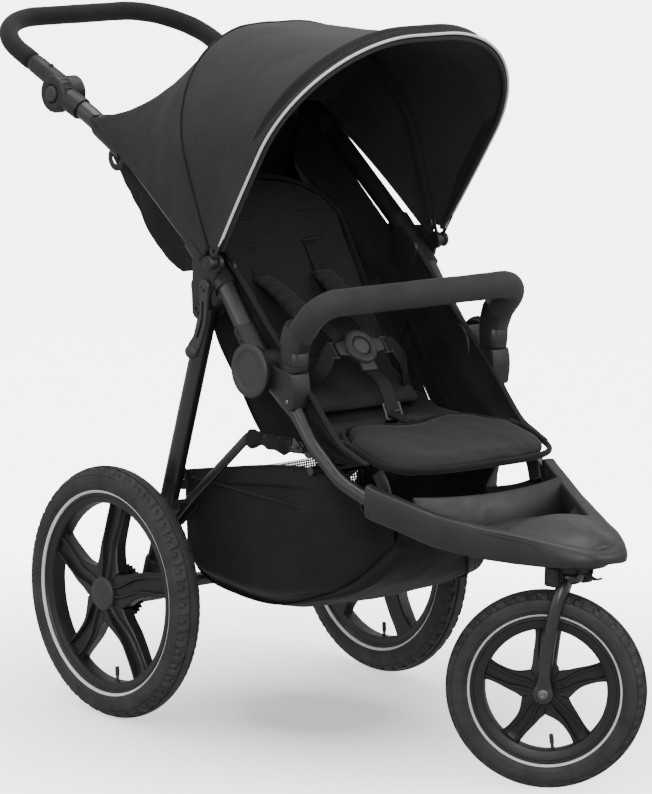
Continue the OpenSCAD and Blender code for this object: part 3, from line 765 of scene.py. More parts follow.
for side, s in SIDES:
    def place_rear(p, s=s):
        return at(s * (278 + p[2]), p[0], 200 + p[1])
    body = "rear_wheel_" + side
    wheel("rear_" + side, body, place_rear, 200, 48, 160.6, 22, REAR,
          ["rear_tyre_" + side, "rear_rim_" + side], s)
    hub_cap("rear_" + side, body, place_rear, 28)
    sprocket("rear_" + side, body, place_rear, -28, -20.5, ["brake_ring_" + side])

SWIVEL = JOINTS["front_spin"]["axis"]
FY, FZ = pivot("front_spin")
FX = JOINTS["front_spin"]["pos_m"][0] * 1000


def place_front(p):
    """A local (y, z, x) point of the front wheel; x runs along its axle."""
    ax, ay = SWIVEL[0], SWIVEL[1]
    return at(FX + ax * p[2] - ay * p[0], FY + ay * p[2] + ax * p[0], FZ + p[1])


def place_front_flipped(p):
    """The same with the outer face towards the wheel's right."""
    return place_front((p[0], p[1], -p[2]))


wheel("front", "front_wheel", place_front_flipped, 153, 44, 115.5, 16, FRONT,
      ["front_tyre", "front_rim"], -1)


# ---- fork and steering -------------------------------------------------------------

STEM_Y = pivot("front_swivel")[0]
SWIVEL_TURN = math.atan2(SWIVEL[1], SWIVEL[0])


def by_fork(x, y, z):
    """A point given square to the swivelled fork, from the steering axis, in millimetres."""
    c, s = math.cos(SWIVEL_TURN), math.sin(SWIVEL_TURN)
    return Vector((x * c - y * s, STEM_Y + x * s + y * c, z))


TRAIL = 27
fork_parts = []
for s in (-1, 1):
    route = spline([by_fork(s * 34, TRAIL, 146), by_fork(s * 34, TRAIL - 1, 180),
                    by_fork(s * 34, TRAIL - 7, 240), by_fork(s * 32.5, TRAIL - 15, 288), by_fork(s * 25, TRAIL - 22, 313),
                    by_fork(s * 10, TRAIL - 26, 326), by_fork(0, 0, 330)], 60)

    def girth(t):
        # flat paddle round the axle, round tube above it
        flat = max(0.0, 1 - t / 0.16)
        return (10.2 + 5.0 * flat ** 0.7, 10.2 - 5.0 * flat ** 0.7)
    fork_parts.append(sweep("leg", route, girth, 24, up=by_fork(1, 0, 0) - by_fork(0, 0, 0)))
    # rounded end of the paddle
    prof = [(15.0, -4.2), (15.4, 0), (15.0, 4.2), (13.2, 5.4), (0.01, 5.6), (0.01, -5.6), (13.2, -5.4)]
    rows = lathe_rows(prof, 48)
    fork_parts.append(ring_mesh("paddle", rows, lambda p, s=s: place_front((p[0], p[1], s * 34 + p[2]))))
crown = [(0.01, 318), (17, 318), (22, 321), (24, 326), (24, 331), (21, 335), (0.01, 335.5)]
fork_parts.append(lathe("crown", crown, (0, STEM_Y, 0), "Z"))
fork = join("fork_tube", fork_parts)
piece(shade_by_angle(fork, 50), "front_fork", "tube", ["fork"])

axle_bits = []
for s in (-1, 1):
    nut = [(0.01, 44.5), (3, 45.2), (3.8, 44.6), (4.2, 43.0), (7.2, 42.4), (7.8, 41.6), (7.8, 40),
           (0.01, 40)]
    axle_bits.append(ring_mesh("nut", lathe_rows(nut, 36),
                               lambda p, s=s: place_front((p[0], p[1], s * (p[2] - 1)))))
rod_prof = [(0.01, -40), (5.9, -40), (5.9, 40), (0.01, 40)]
axle_bits.append(ring_mesh("rod", lathe_rows(rod_prof, 32), place_front))
piece(shade_by_angle(join("front_axle_bolts", axle_bits), 30), "front_fork", "dark_steel", ["front_axle"])

housing = [lathe("collar", [(9.2, 337), (29, 337), (31.5, 340), (31.5, 351), (28, 354), (9.2, 354)],
                 (0, STEM_Y, 0), "Z")]
for s in (-1, 1):
    housing.append(block("shoe", (s * 30, STEM_Y - 1, 331), (17, 26, 30), 3.0, 3))
    housing.append(block("shoe_lip", (s * 30, STEM_Y - 2, 318.5), (19.5, 21, 5), 1.6, 2))
    for k in (-1, 0, 1):
        housing.append(block("rib", (s * 30 + k * 5, STEM_Y - 14.6, 331), (2.4, 3, 20), 0.9, 2))
for s in (-1, 1):
    housing.append(block("ear", (s * 10, STEM_Y - 34, 344), (3.2, 20, 13), 1.0, 2))
piece(shade_by_angle(join("steering_housing", housing), 40), "chassis", "plastic", ["stem_housing"])

LY, LZ = pivot("swivel_lock")
tongue = [sweep("pin", [Vector((-8, LY, LZ)), Vector((8, LY, LZ))], 3, 20)]
path = spline([(0, LY, LZ - 3), (0, LY - 10, LZ - 8), (0, LY - 20, LZ - 10.5),
               (0, LY - 30, LZ - 9.5), (0, LY - 34, LZ - 7.5)], 24)
tongue.append(sweep("blade", path, lambda t: (6.5 - 1.2 * abs(t - 0.5), 1.7), 20))
tongue.append(block("heel", (0, LY - 1.5, LZ - 4.5), (11, 5, 8), 1.2, 2))
piece(shade_by_angle(join("swivel_tongue", tongue), 40), "swivel_lever", "clear_grey", ["swivel_lever"])


# ---- footrest tray -----------------------------------------------------------------
def tray_plan(u):
    """Outer edge of the tray, from the near arm (-1) round the nose (0) to the far arm (1)."""
    pts = [(0, -835), (32, -830), (58, -806), (78, -772), (98, -724), (124, -672), (154, -606), (177, -548),
           (196, -497)]
    a = abs(u) * (len(pts) - 1)
    k = min(int(a), len(pts) - 2)
    t = a - k
    p = [Vector((*pts[max(0, min(len(pts) - 1, i))], 0)) for i in (k - 1, k, k + 1, k + 2)]
    if k == 0:
        p[0] = Vector((-pts[1][0], pts[1][1], 0))
    q = 0.5 * (2 * p[1] + (p[2] - p[0]) * t + (2 * p[0] - 5 * p[1] + 4 * p[2] - p[3]) * t * t
               + (3 * p[1] - p[0] - 3 * p[2] + p[3]) * t ** 3)
    return Vector((q.x * (1 if u >= 0 else -1), q.y, 0))


def mixed(values, u):
    a = abs(u) * (len(values) - 1)
    return float(np.interp(a, range(len(values)), values))


TRAY_TOP = (383, 385, 389, 394, 399, 404, 414, 430, 446)
TRAY_LOW = (361, 359, 356, 354, 353, 355, 364, 381, 396)
TRAY_IN = (30, 30, 30, 30, 30, 27, 24, 24, 24)

rows = []
n = 120
for i in range(n + 1):
    u = -1 + 2 * i / n
    p = tray_plan(u)
    d = (tray_plan(min(1, u + 0.004)) - tray_plan(max(-1, u - 0.004))).normalized()
    inward = Vector((-d.y, d.x, 0))
    top, low, deep = mixed(TRAY_TOP, u), mixed(TRAY_LOW, u), mixed(TRAY_IN, u)
    h = top - low
    # the band leans out at its top edge and tucks in below
    soft = smoothstep(1.3 - abs(u) * 2.2)
    prof = [(9, low), (4, low + 1), (1.2, low + 0.10 * h), (0.2, low + 0.3 * h),
            (0.8 * soft, low + 0.52 * h), (0.8 + 3.2 * soft, low + 0.76 * h), (2.8 + 5 * soft, top - 2.2 - 1.8 * soft),
            (6 + 7 * soft, top - 0.5 - 1.2 * soft), (10 + 9 * soft, top), (deep - 5, top - 0.2),
            (deep - 2, top - 1), (deep, top - 4), (deep + 0.5, low + 0.5 * h), (deep + 1, low + 7),
            (deep - 3, low + 2)]
    rows.append([p + inward * a + Vector((0, 0, z)) for a, z in prof])
band = open_tube("band", rows, lambda p: at(*p))

# nose deck, crowned, dropping into the well behind it
cols = 25
verts, faces = [], []
stations = list(np.linspace(0.70, 0.0, 26))
for u in stations:
    d = (tray_plan(u + 0.004) - tray_plan(u - 0.004)).normalized()
    p = tray_plan(u) + Vector((-d.y, d.x, 0)) * 17
    w = max(0.5, p.x)
    for k in range(cols):
        v = -1 + 2 * k / (cols - 1)
        crown_up = 12.0 * (1 - v * v) ** 1.5 * smoothstep(p.x / 60)
        back = max(0.0, (p.y + 690) / 24)
        z = mixed(TRAY_TOP, u) - 0.6 + crown_up
        z -= 26 * min(1, back) ** 0.8 * (1 if abs(v) < 0.80 else max(0, (1 - abs(v)) / 0.2))
        verts.append(at(v * w, p.y, z))
m = len(stations)
faces = [(i * cols + k, i * cols + k + 1, (i + 1) * cols + k + 1, (i + 1) * cols + k)
         for i in range(m - 1) for k in range(cols - 1)]
deck = thicken(tidy_normals(mesh("deck", verts, faces)), 4)

# rear wall of the well and its floor
wall = []
for i in range(21):
    t = i / 20
    x = -150 + 300 * t
    b = 1 - (2 * t - 1) ** 2
    wall.append([(x, -572 - 22 * b, 372), (x, -566 - 20 * b, 398 + 6 * (1 - b)),
                 (x, -560 - 17 * b, 424 + 6 * (1 - b)),
                 (x, -557 - 17 * b, 426.5 + 6 * (1 - b)), (x, -553 - 17 * b, 424 + 6 * (1 - b)),
                 (x, -559 - 20 * b, 398 + 6 * (1 - b)), (x, -565 - 22 * b, 369)])
back_wall = open_tube("wall", wall, lambda p: at(*p))
floor_pts = [(-146, -566), (0, -590), (146, -566), (150, -604), (118, -672), (88, -700), (-88, -700),
             (-118, -672), (-150, -604)]
well_floor = prism("well_floor", floor_pts, 367, 371, at)

under = lathe("under", [(12, 350), (42, 350), (45, 352), (45, 358), (12, 362)], (0, STEM_Y - 22, 0), "Z")
parts = [band, deck, back_wall, well_floor, under]
# struts that tie the tray's arms to the leg rest's frame
for s in (-1, 1):
    parts.append(sweep("strut", spline([(s * 152, -498, 418), (s * 153, -490, 440),
                                        (s * 154, -478, 458)], 12), (14, 3.2), 20, up=(1, 0, 0)))
tray = join("footrest_shell", parts)
bevel(tray, 0.9, 2, 50)
piece(shade_by_angle(tray, 42), "chassis", "tray", ["footrest_tray"])

# shut lines in the tray's skin
seams = []
for s in (-1, 1):
    line = []
    for t in np.linspace(0, 1, 28):
        u = s * (0.62 - 0.34 * t)
        p = tray_plan(u)
        d = (tray_plan(u + 0.004) - tray_plan(u - 0.004)).normalized()
        inward = Vector((-d.y, d.x, 0))
        drop = 1 / (1 + math.exp(-(t - 0.72) * 16))
        z = mixed(TRAY_TOP, u) - 7 - drop * (mixed(TRAY_TOP, u) - mixed(TRAY_LOW, u) - 12)
        line.append(p + inward * (0.5 if t > 0.1 else 1.0) + Vector((0, 0, z)))
    seams.append(sweep("seam", resample(line, 4), 0.9, 8, up=(0, 1, 0)))
piece(join("tray_seams", seams), "chassis", "plastic")


# ---- tubes -------------------------------------------------------------------------
def tube_sides(name, points, radius, body, material, replaced, bend=60, girth=None):
    for side, s in SIDES:
        route = rounded_path([(s * x, y, z) for x, y, z in points], bend, 5)
        ob = sweep(name + "_" + side, route, girth or rounded_ends(radius, route, 1.5), 32)
        piece(shade_by_angle(ob, 50), body.replace("SIDE", side), material,
              [r.replace("SIDE", side) for r in replaced])


FRONT_ROUTE = [(205, -292, 573), (205, -345, 536), (205, -385, 490), (196, -440, 443), (174, -508, 411)]
PUSH_ROUTE = [(205, -262, 598), (207, -150, 727), (211, 60, 879), (214, 165, 931), (217, 196, 944)]
tube_sides("front_rail", FRONT_ROUTE, 15, "chassis", "tube", ["front_tube_SIDE"], 120,
           lambda t: 15 - 3.6 * smoothstep((t - 0.12) / 0.2))
tube_sides("push_tube", PUSH_ROUTE, 15, "upper_frame", "tube", ["pushbar_SIDE"], 260)
tube_sides("leg_tube", [(205, -130, 665), (205, 0, 200)], 15, "rear_frame", "tube", ["rear_leg_SIDE"])

for side, s in SIDES:
    route = rounded_path([(s * 205, -358, 483.5), (s * 205, -238, 484), (s * 205, -84, 347),
                          (s * 205, -60, 326)], (36, 200), 3)
    ob = sweep("tube", route,
               lambda t: (7.2 + 1.6 * max(0, (t - 0.86) / 0.14), 7.2 - 2.8 * max(0, (t - 0.86) / 0.14)), 24,
               up=(1, 0, 0))
    eye = lathe("eye", [(3.1, -7.6), (8.2, -7.6), (9, -6.8), (9, 6.8), (8.2, 7.6), (3.1, 7.6)],
                (s * 205, BRACE_TOP[0], BRACE_TOP[1]))
    parts = [ob, eye]
    for x in (-18.4, 18.4):
        parts.append(slab("fork",
                          round_outline([(-96, 345), (-84, 359), (-40, 323), (-38, 309), (-50, 304)], 7),
                          s * 205 + x - 2, s * 205 + x + 2, 0.9))
    parts.append(sweep("cross", [Vector((s * 185, -88, 351)), Vector((s * 225, -88, 351))], 6, 20))
    for x in (-21, 21):
        parts.append(bolt("rivet", (s * 205 + x, BRACE_TOP[0], BRACE_TOP[1]), 4.6, 2.2, 1 if x > 0 else -1))
    piece(shade_by_angle(join("brace_bar_" + side, parts), 40), "brace_" + side, "tube", ["brace_" + side])

cross = [sweep("tube", [Vector((-193, -366, 446)), Vector((193, -366, 446))], 7, 24)]
for s in (-1, 1):
    for x, low in ((193, [(-358, 466), (-371, 466)]), (213, [(-357, 475), (-368, 475)])):
        lo, hi = sorted((s * x, s * (x + 4)))
        cross.append(slab("ear", round_outline([(-352, 500), (-350, 480)] + low + [(-376, 482)], 5), lo, hi,
                          1.0))
    cross.append(sweep("pin", [Vector((s * 192, *BRACE_TOP)), Vector((s * 219, *BRACE_TOP))], 3, 16))
piece(shade_by_angle(join("seat_cross_bar", cross), 40), "chassis", "tube", ["seat_cross_tube"])


# ---- folding hubs ------------------------------------------------------------------
def x_turned(name, prof, s, centre):
    return lathe(name, [(r, s * x) for r, x in prof], (0, *centre), steps=72)


for side, s in SIDES:
    parts = []
    for x0, x1 in ((179, 187), (223, 231)):
        parts.append(x_turned("cheek",
                              [(10, x0), (36.5, x0), (38, x0 + 1.5), (38, x1 - 1.5), (36.5, x1), (10, x1)],
                              s, HUB))
    arc_out = [(HUB[0] + 36 * math.cos(a), HUB[1] + 36 * math.sin(a))
               for a in np.linspace(math.radians(112), math.radians(245), 20)]
    arc_in = [(HUB[0] + 26 * math.cos(a), HUB[1] + 26 * math.sin(a))
              for a in np.linspace(math.radians(245), math.radians(112), 16)]
    parts.append(slab("web", arc_out + arc_in, min(s * 186, s * 224), max(s * 186, s * 224), 0.8))
    # socket the tube ends in, tapering forward to the bumper's foot
    parts.append(slab("socket",
                      round_outline([(-290, 606), (-318, 600), (-352, 596), (-358, 571), (-354, 540),
                                     (-345, 537), (-320, 556), (-296, 566)],
                                    (10, 8, 5, 12, 5, 6, 10, 10)),
                      s * 205 - 18, s * 205 + 18, 3.0, 3))
    parts.append(sweep("pin", [Vector((s * 178, *HUB)), Vector((s * 232, *HUB))], 10, 24))
    piece(shade_by_angle(join("hub_shell_" + side, parts), 38), "chassis", "plastic",
          ["hub_housing_" + side])

covers = []
for s in (-1, 1):
    prof = [(0.01, 231.5), (40, 231.5), (42, 233), (42.3, 235.5), (41.2, 238), (38.5, 239.2), (33.5, 239.4),
            (31, 238.6), (29.5, 236.8), (28.2, 236.2), (20, 236.9), (10, 237.2), (0.01, 237.3)]
    covers.append(x_turned("cover", prof, s, HUB))
piece(shade_by_angle(join("hub_cover_discs", covers), 60), "chassis", "grey_plastic", ["hub_covers"])

# eyes and collars where the pushbars meet the hubs
collar_parts = []
for s in (-1, 1):
    d = Vector((0, 118, 129)).normalized()
    p0 = Vector((s * 205, *HUB)) + d * 24
    collar_parts.append(sweep("collar", [p0 + d * t for t in (0, 6, 20, 44, 52, 56)],
                              lambda t: 18.4 - 0.9 * t if t < 0.9 else 17.5 - 1.5 * (t - 0.9) * 10, 32,
                              up=(1, 0, 0)))
    collar_parts.append(x_turned("eye",
                                 [(10.2, 188), (22, 188), (23, 189), (23, 221), (22, 222), (10.2, 222)], s,
                                 HUB))
    for t in (30, 44):
        c = p0 + d * t
        collar_parts.append(bolt("rivet", (s * 222.0, c.y, c.z), 3.6, 2.0, s))
piece(shade_by_angle(join("hub_collars", collar_parts), 40), "upper_frame", "plastic")


# ---- brackets, latches and knuckles --------------------------------------------------

for side, s in SIDES:
    outline = []
    for c, r, a0, a1 in ((BRACKET, 17, 180, 330), ((-124, 700), 14, 330, 400), ((-128, 744), 17, 20, 110),
                         ((-152, 727), 18, 110, 190)):
        outline += [(c[0] + r * math.cos(math.radians(a)), c[1] + r * math.sin(math.radians(a)))
                    for a in np.linspace(a0, a1, 7)]
    parts = []
    for x0, x1 in ((183, 189), (221, 227)):
        lo, hi = sorted((s * x0, s * x1))
        parts.append(slab("cheek", outline, lo, hi, 1.5, 3))
    parts.append(sweep("sleeve", [Vector((s * 207, -172, 701.5)), Vector((s * 208.2, -96, 766))], 18.5, 32,
                       up=(1, 0, 0)))
    parts.append(bolt("leg_bolt", (s * 227, *BRACKET), 8, 3.5, s))
    parts.append(bolt("leg_bolt", (s * 183, *BRACKET), 8, 3.0, -s))
    parts.append(sweep("pivot", [Vector((s * 226, -150, 700)), Vector((s * 236, -150, 700))], 5, 20))
    piece(shade_by_angle(join("pivot_bracket_" + side, parts), 40), "upper_frame", "plastic",
          ["bracket_" + side])

    # lever: a slotted arm with a bulbous toe
    arm = spline([(0, -150, 704), (0, -150, 676), (0, -148.5, 650), (0, -138, 622), (0, -124, 600)], 34)
    left, right = [], []
    for p, (t, sd, nm) in zip(arm, frames(arm, (1, 0, 0))):
        k = arm.index(p) / 33
        w = 10.5 - 2.2 * math.sin(math.pi * min(1, k * 1.2)) + 1.5 * max(0, (k - 0.8) * 5)
        left.append((p.y + sd.y * w, p.z + sd.z * w))
        right.append((p.y - sd.y * w, p.z - sd.z * w))
    top_c = [(-150 + 10.5 * math.cos(a), 704 + 10.5 * math.sin(a))
             for a in np.linspace(0, math.pi, 9)[1:-1]]
    if left[0][0] > right[0][0]:
        loop = list(reversed(left)) + top_c + right
    else:
        loop = list(reversed(right)) + top_c + left
    lo, hi = sorted((s * 228, s * 234.5))
    lever = slab("lever", loop, lo, hi, 1.6, 3)
    slot = sweep("slot", [Vector((s * 231, p.y, p.z)) for p in arm[7:26]], (3.1, 6.0), 20, up=(1, 0, 0))
    toe = sweep("toe", [Vector((s * x, -122, 597)) for x in np.linspace(224, 240, 14)],
                lambda t: (13 * math.sqrt(max(0.02, 1 - (2 * t - 1) ** 2)),
                           11 * math.sqrt(max(0.02, 1 - (2 * t - 1) ** 2))), 28)
    m = lever.modifiers.new("slot", "BOOLEAN")
    m.operation = "DIFFERENCE"
    m.object = slot
    m.solver = "EXACT"
    apply_modifiers(lever)
    bpy.data.objects.remove(slot)
    knob = bolt("screw", (s * 234.4, -150, 702), 6, 2.6, s)
    ob = join("latch_lever_" + side, [lever, toe, knob])
    piece(shade_by_angle(ob, 38), "fold_latch_" + side, "grey_plastic", ["latch_" + side])

rings = []
for s in (-1, 1):
    a0, a1 = Vector((s * 211.4, 76, 887.0)), Vector((s * 213.0, 140, 918.7))
    rings.append(sweep("collar", [a0.lerp(a1, t) for t in (0, 0.08, 0.5, 0.92, 1)],
                       lambda t: 19.0 if 0.05 < t < 0.95 else 17.6, 32))
    loop = [Vector((s * 213, 98 + 15 * math.cos(a), 871 + 15 * math.sin(a)))
            for a in np.linspace(0, 2 * math.pi, 40)]
    rings.append(sweep("ring", loop, (5.5, 1.8), 14, up=(1, 0, 0), caps=False))
piece(shade_by_angle(join("strap_collars", rings), 40), "upper_frame", "plastic", ["tube_collars"])

knuckles = []
for s in (-1, 1):
    prof = [(0.01, 214.3), (29, 214.3), (30, 215.5), (30.4, 224), (29.6, 233), (27.5, 235.6), (24, 236.4),
            (16.5, 236.4), (15.2, 235.4), (14.2, 233), (0.01, 233)]
    knuckles.append(x_turned("housing", prof, s, KNUCKLE))
    d = (Vector((s * 219, 224, 955)) - Vector((s * 216, 178, 936.6))).normalized()
    p0 = Vector((s * 217, 182, 938))
    knuckles.append(sweep("neck", [p0 + d * t for t in (0, 3, 20, 34)],
                          lambda t: 18.3 if t > 0.05 else 17.2, 28))
    for k in range(14):
        a = math.radians(110 + k * 16)
        knuckles.append(block("grip_rib",
                              (s * 224, KNUCKLE[0] + 29.8 * math.cos(a), KNUCKLE[1] + 29.8 * math.sin(a)),
                              (14, 2.4, 2.4), 0.7, 1, Matrix.Rotation(a, 3, "X")))
piece(shade_by_angle(join("knuckle_shells", knuckles), 40), "upper_frame", "plastic", ["knuckle_housings"])
for side, s in SIDES:
    prof = [(0.01, 232.5), (12.9, 232.5), (12.9, 237.4), (11.8, 238.8), (8, 239.6), (0.01, 239.9)]
    piece(shade_by_angle(x_turned("knuckle_cap_" + side, prof, s, KNUCKLE), 50), "knuckle_button_" + side,
          "grey_plastic", ["knuckle_button_" + side])


# ---- handle ------------------------------------------------------------------------

TILT = math.radians(21)


def on_handle(x, s, up=0.0):
    return Vector((x, KNUCKLE[0] + s * math.cos(TILT) - up * math.sin(TILT),
                   KNUCKLE[1] + s * math.sin(TILT) + up * math.cos(TILT)))


def handle_route(start):
    return rounded_path([on_handle(-197, start), on_handle(-197, 254), on_handle(197, 254),
                         on_handle(197, start)], 112, 5)


arms = [sweep("tube", handle_route(26), 11, 28)]
for s in (-1, 1):
    arms.append(x_turned("drum",
                         [(8.2, 187), (25.5, 187), (27, 188.5), (27, 212), (26, 213.5), (8.2, 213.5)], s,
                         KNUCKLE))
    sleeve = [on_handle(s * 197, v) for v in (18, 22, 50, 88, 100, 104)]
    arms.append(sweep("sleeve", sleeve,
                      lambda t: (15.6 - 1.2 * t, 16.6 - 1.8 * t) if t < 0.97 else (13.2, 13.4), 28))
    c = on_handle(s * 197, 62, 15.6)
    arms.append(lathe("screw", [(0.01, 3.0), (2.6, 3.0), (4.2, 1.8), (4.4, -2), (0.01, -2)], tuple(c), "Z",
                      steps=24))
piece(shade_by_angle(join("handle_frame", arms), 40), "handle", "plastic", ["handle_tube"])
route = handle_route(26)
skip = int(82 / (route[1] - route[0]).length)
route = route[skip:-skip]
ends = rounded_ends(15.4, route, 5)
grip = sweep("handle_foam", route, lambda t: ends(t) + 0.25 * math.sin(t * 60) * math.sin(t * 23), 36)
piece(shade_by_angle(grip, 60), "handle", "foam", ["handle_grip"])


# ---- rear axle and brake -------------------------------------------------------------

axle = [sweep("tube", [Vector((-186, 0, 200)), Vector((186, 0, 200))], 11, 28),
        sweep("rod", [Vector((-299, 0, 200)), Vector((299, 0, 200))], 6, 24)]
piece(join("rear_axle_tube", axle), "rear_frame", "tube", ["rear_axle"])
blocks = []
for s in (-1, 1):
    prof = [(6.2, 186), (20, 186), (22.5, 188.5), (22.8, 205), (22.8, 238), (21, 245), (17, 246),
            (6.2, 246)]
    blocks.append(x_turned("block", prof, s, (0, 200)))
    blocks.append(x_turned("boss", [(3.6, 222), (8, 222), (9, 223), (9, 245), (8, 246), (3.6, 246)], s,
                           (-32, 200)))
    lo, hi = sorted((s * 226, s * 245.5))
    blocks.append(slab("arm", [(-32, 191), (-12, 184), (-12, 216), (-32, 209)], lo, hi, 1.5))
    a = Vector((s * 205, -4, 212))
    blocks.append(sweep("leg_socket",
                        [a, a + Vector((0, -3.5, 12)), a + Vector((0, -9.4, 34)),
                         a + Vector((0, -10.4, 37))],
                        lambda t: 18.6 if t < 0.9 else 17.2, 32, up=(1, 0, 0)))
piece(shade_by_angle(join("axle_blocks", blocks), 40), "rear_frame", "plastic", ["axle_housings"])
for side, s in SIDES:
    ob = sweep("brake_bolt_" + side,
               [Vector((s * x, -32, 200)) for x in (209, 210, 213, 213.4, 230, 248, 249)],
               lambda t: 5.6 if t < 0.11 else 3.45, 20)
    piece(shade_by_angle(ob, 30), "brake_pin_" + side, "steel", ["brake_pin_" + side])

pedal = [lathe("barrel", [(11.2, -34), (15, -34), (16, -33), (16, 33), (15, 34), (11.2, 34)], (0, 0, 200),
               steps=48)]
tp = [(max(-48, min(48, 34 * (1 if math.cos(a) > 0 else -1) + 14 * math.cos(a))), 62 + 14 * math.sin(a))
      for a in np.linspace(0, 2 * math.pi, 49)[:-1]]
pedal.append(bevel(prism("plate", tp, 197, 203, at), 1.5, 3))
pedal.append(block("neck", (0, 34, 200), (44, 52, 8), 2, 3))
for k in range(-3, 4):
    pedal.append(block("ridge", (k * 11, 62, 203.4), (4, 20, 2), 0.8, 2))
piece(shade_by_angle(join("brake_pedal_plate", pedal), 40), "brake_pedal", "plastic", ["brake_pedal"])


# ---- bumper bar --------------------------------------------------------------------

BUMPER = (-335, 640)
BAR_LEAN = math.radians(130)


def on_bar(x, s):
    return Vector((x, BUMPER[0] + s * math.cos(BAR_LEAN), BUMPER[1] + s * math.sin(BAR_LEAN)))


route = rounded_path([on_bar(-203, 14), on_bar(-203, 86), on_bar(203, 86), on_bar(203, 14)], 46, 4)
ends = rounded_ends(21, route, 3)
bar = sweep("bumper_foam", route, lambda t: ends(t) + 0.35 * math.sin(t * 40) * math.sin(t * 17), 40)
piece(shade_by_angle(bar, 60), "bumper", "bar_foam", ["bumper_bar"])

arms = []
for s in (-1, 1):
    # stacked sections, each a little smaller than the one above, ending in a pointed foot
    def section(yc, z, w, d, lean=0.0):
        pts = []
        for k in range(28):
            a = 2 * math.pi * k / 28
            e = 0.62
            cx = math.copysign(abs(math.cos(a)) ** e, math.cos(a))
            cy = math.copysign(abs(math.sin(a)) ** e, math.sin(a))
            pts.append((s * 204 + w * cx, yc + d * cy, z + lean * cy * d))
        return pts
    levels = [(-346, 661, 18.5, 19, 0.75), (-341, 652, 19.5, 20.5, 0.6), (-337, 641, 19.5, 20.5, 0.45),
              (-335.5, 634.4, 19.5, 20.5, 0.4),
              (-335.4, 633.6, 18.6, 19.6, 0.4), (-335, 633.0, 19.4, 20.6, 0.4),
              (-335, 616, 19.2, 20.6, 0.3), (-335, 612.4, 19.0, 20.4, 0.3),
              (-335, 611.6, 18.0, 19.4, 0.3), (-335, 611, 18.8, 20.2, 0.3), (-335, 601, 18.2, 19.8, 0.15),
              (-335, 597.2, 17.6, 19.2, 0.0)]
    arms.append(open_tube("arm", [section(*v) for v in levels], lambda p: at(*p)))
    arms.append(sweep("peg", [Vector((s * 205, -335, 575)), Vector((s * 205, -335, 600))], 8, 24,
                      up=(1, 0, 0)))
piece(shade_by_angle(join("bumper_sockets", arms), 40), "bumper", "tray", ["bumper_arms"])
screws = [bolt("screw", (s * 223, -343, 552), 3.6, 1.8, s) for s in (-1, 1)]
piece(shade_by_angle(join("socket_screws", screws), 30), "chassis", "dark_steel")


# ---- cloth tools -------------------------------------------------------------------
def ripple(p, scale, amount, seed=0.0):
    """Smooth wrinkle height for a point in millimetres."""
    return amount * noise.noise(Vector((p.x / scale + seed, p.y / scale, p.z / scale + seed * 0.7)))


def surface(name, rows_fn, n, m, thick=1.2, wrinkle=0.0, wrinkle_scale=60, seed=1.0, pinch=None):
    """A cloth sheet from a function of (u, v) in 0..1. Returns the object, its flat size
    (width, length) in metres and its area in square metres."""
    grid = [[Vector(rows_fn(j / m, i / n)) for j in range(m + 1)] for i in range(n + 1)]
    if wrinkle:
        out = [[q.copy() for q in row] for row in grid]
        for i in range(n + 1):
            for j in range(m + 1):
                du = grid[i][min(m, j + 1)] - grid[i][max(0, j - 1)]
                dv = grid[min(n, i + 1)][j] - grid[max(0, i - 1)][j]
                nrm = du.cross(dv)
                nrm = nrm.normalized() if nrm.length > 1e-9 else Vector((0, 0, 0))
                fade = min(1.0, 6 * min(j / m, 1 - j / m)) * min(1.0, 6 * min(i / n, 1 - i / n))
                if pinch:
                    fade = pinch(j / m, i / n)
                h = (ripple(grid[i][j], wrinkle_scale, wrinkle, seed)
                     + ripple(grid[i][j], wrinkle_scale * 0.4, wrinkle * 0.35, seed + 5))
                out[i][j] = grid[i][j] + nrm * h * fade
        grid = out
    us = [sum((grid[i][j + 1] - grid[i][j]).length for j in range(m)) for i in range(n + 1)]
    vs = [sum((grid[i + 1][j] - grid[i][j]).length for i in range(n)) for j in range(m + 1)]
    area = 0.0
    for i in range(n):
        for j in range(m):
            a, b, c, d = grid[i][j], grid[i][j + 1], grid[i + 1][j + 1], grid[i + 1][j]
            area += ((b - a).cross(d - a).length + (b - c).cross(d - c).length) / 2
    width, length = max(us) / 1000, max(vs) / 1000
    verts = [at(*q) for row in grid for q in row]
    uvs = [(j / m * width, i / n * length) for i in range(n + 1) for j in range(m + 1)]
    faces = [(i * (m + 1) + j, i * (m + 1) + j + 1, (i + 1) * (m + 1) + j + 1, (i + 1) * (m + 1) + j)
             for i in range(n) for j in range(m)]
    ob = mesh(name, verts, faces, uvs)
    if thick:
        thicken(ob, thick, 0)
    return ob, (round(width, 3), round(length, 3)), round(area / 1e6, 4)


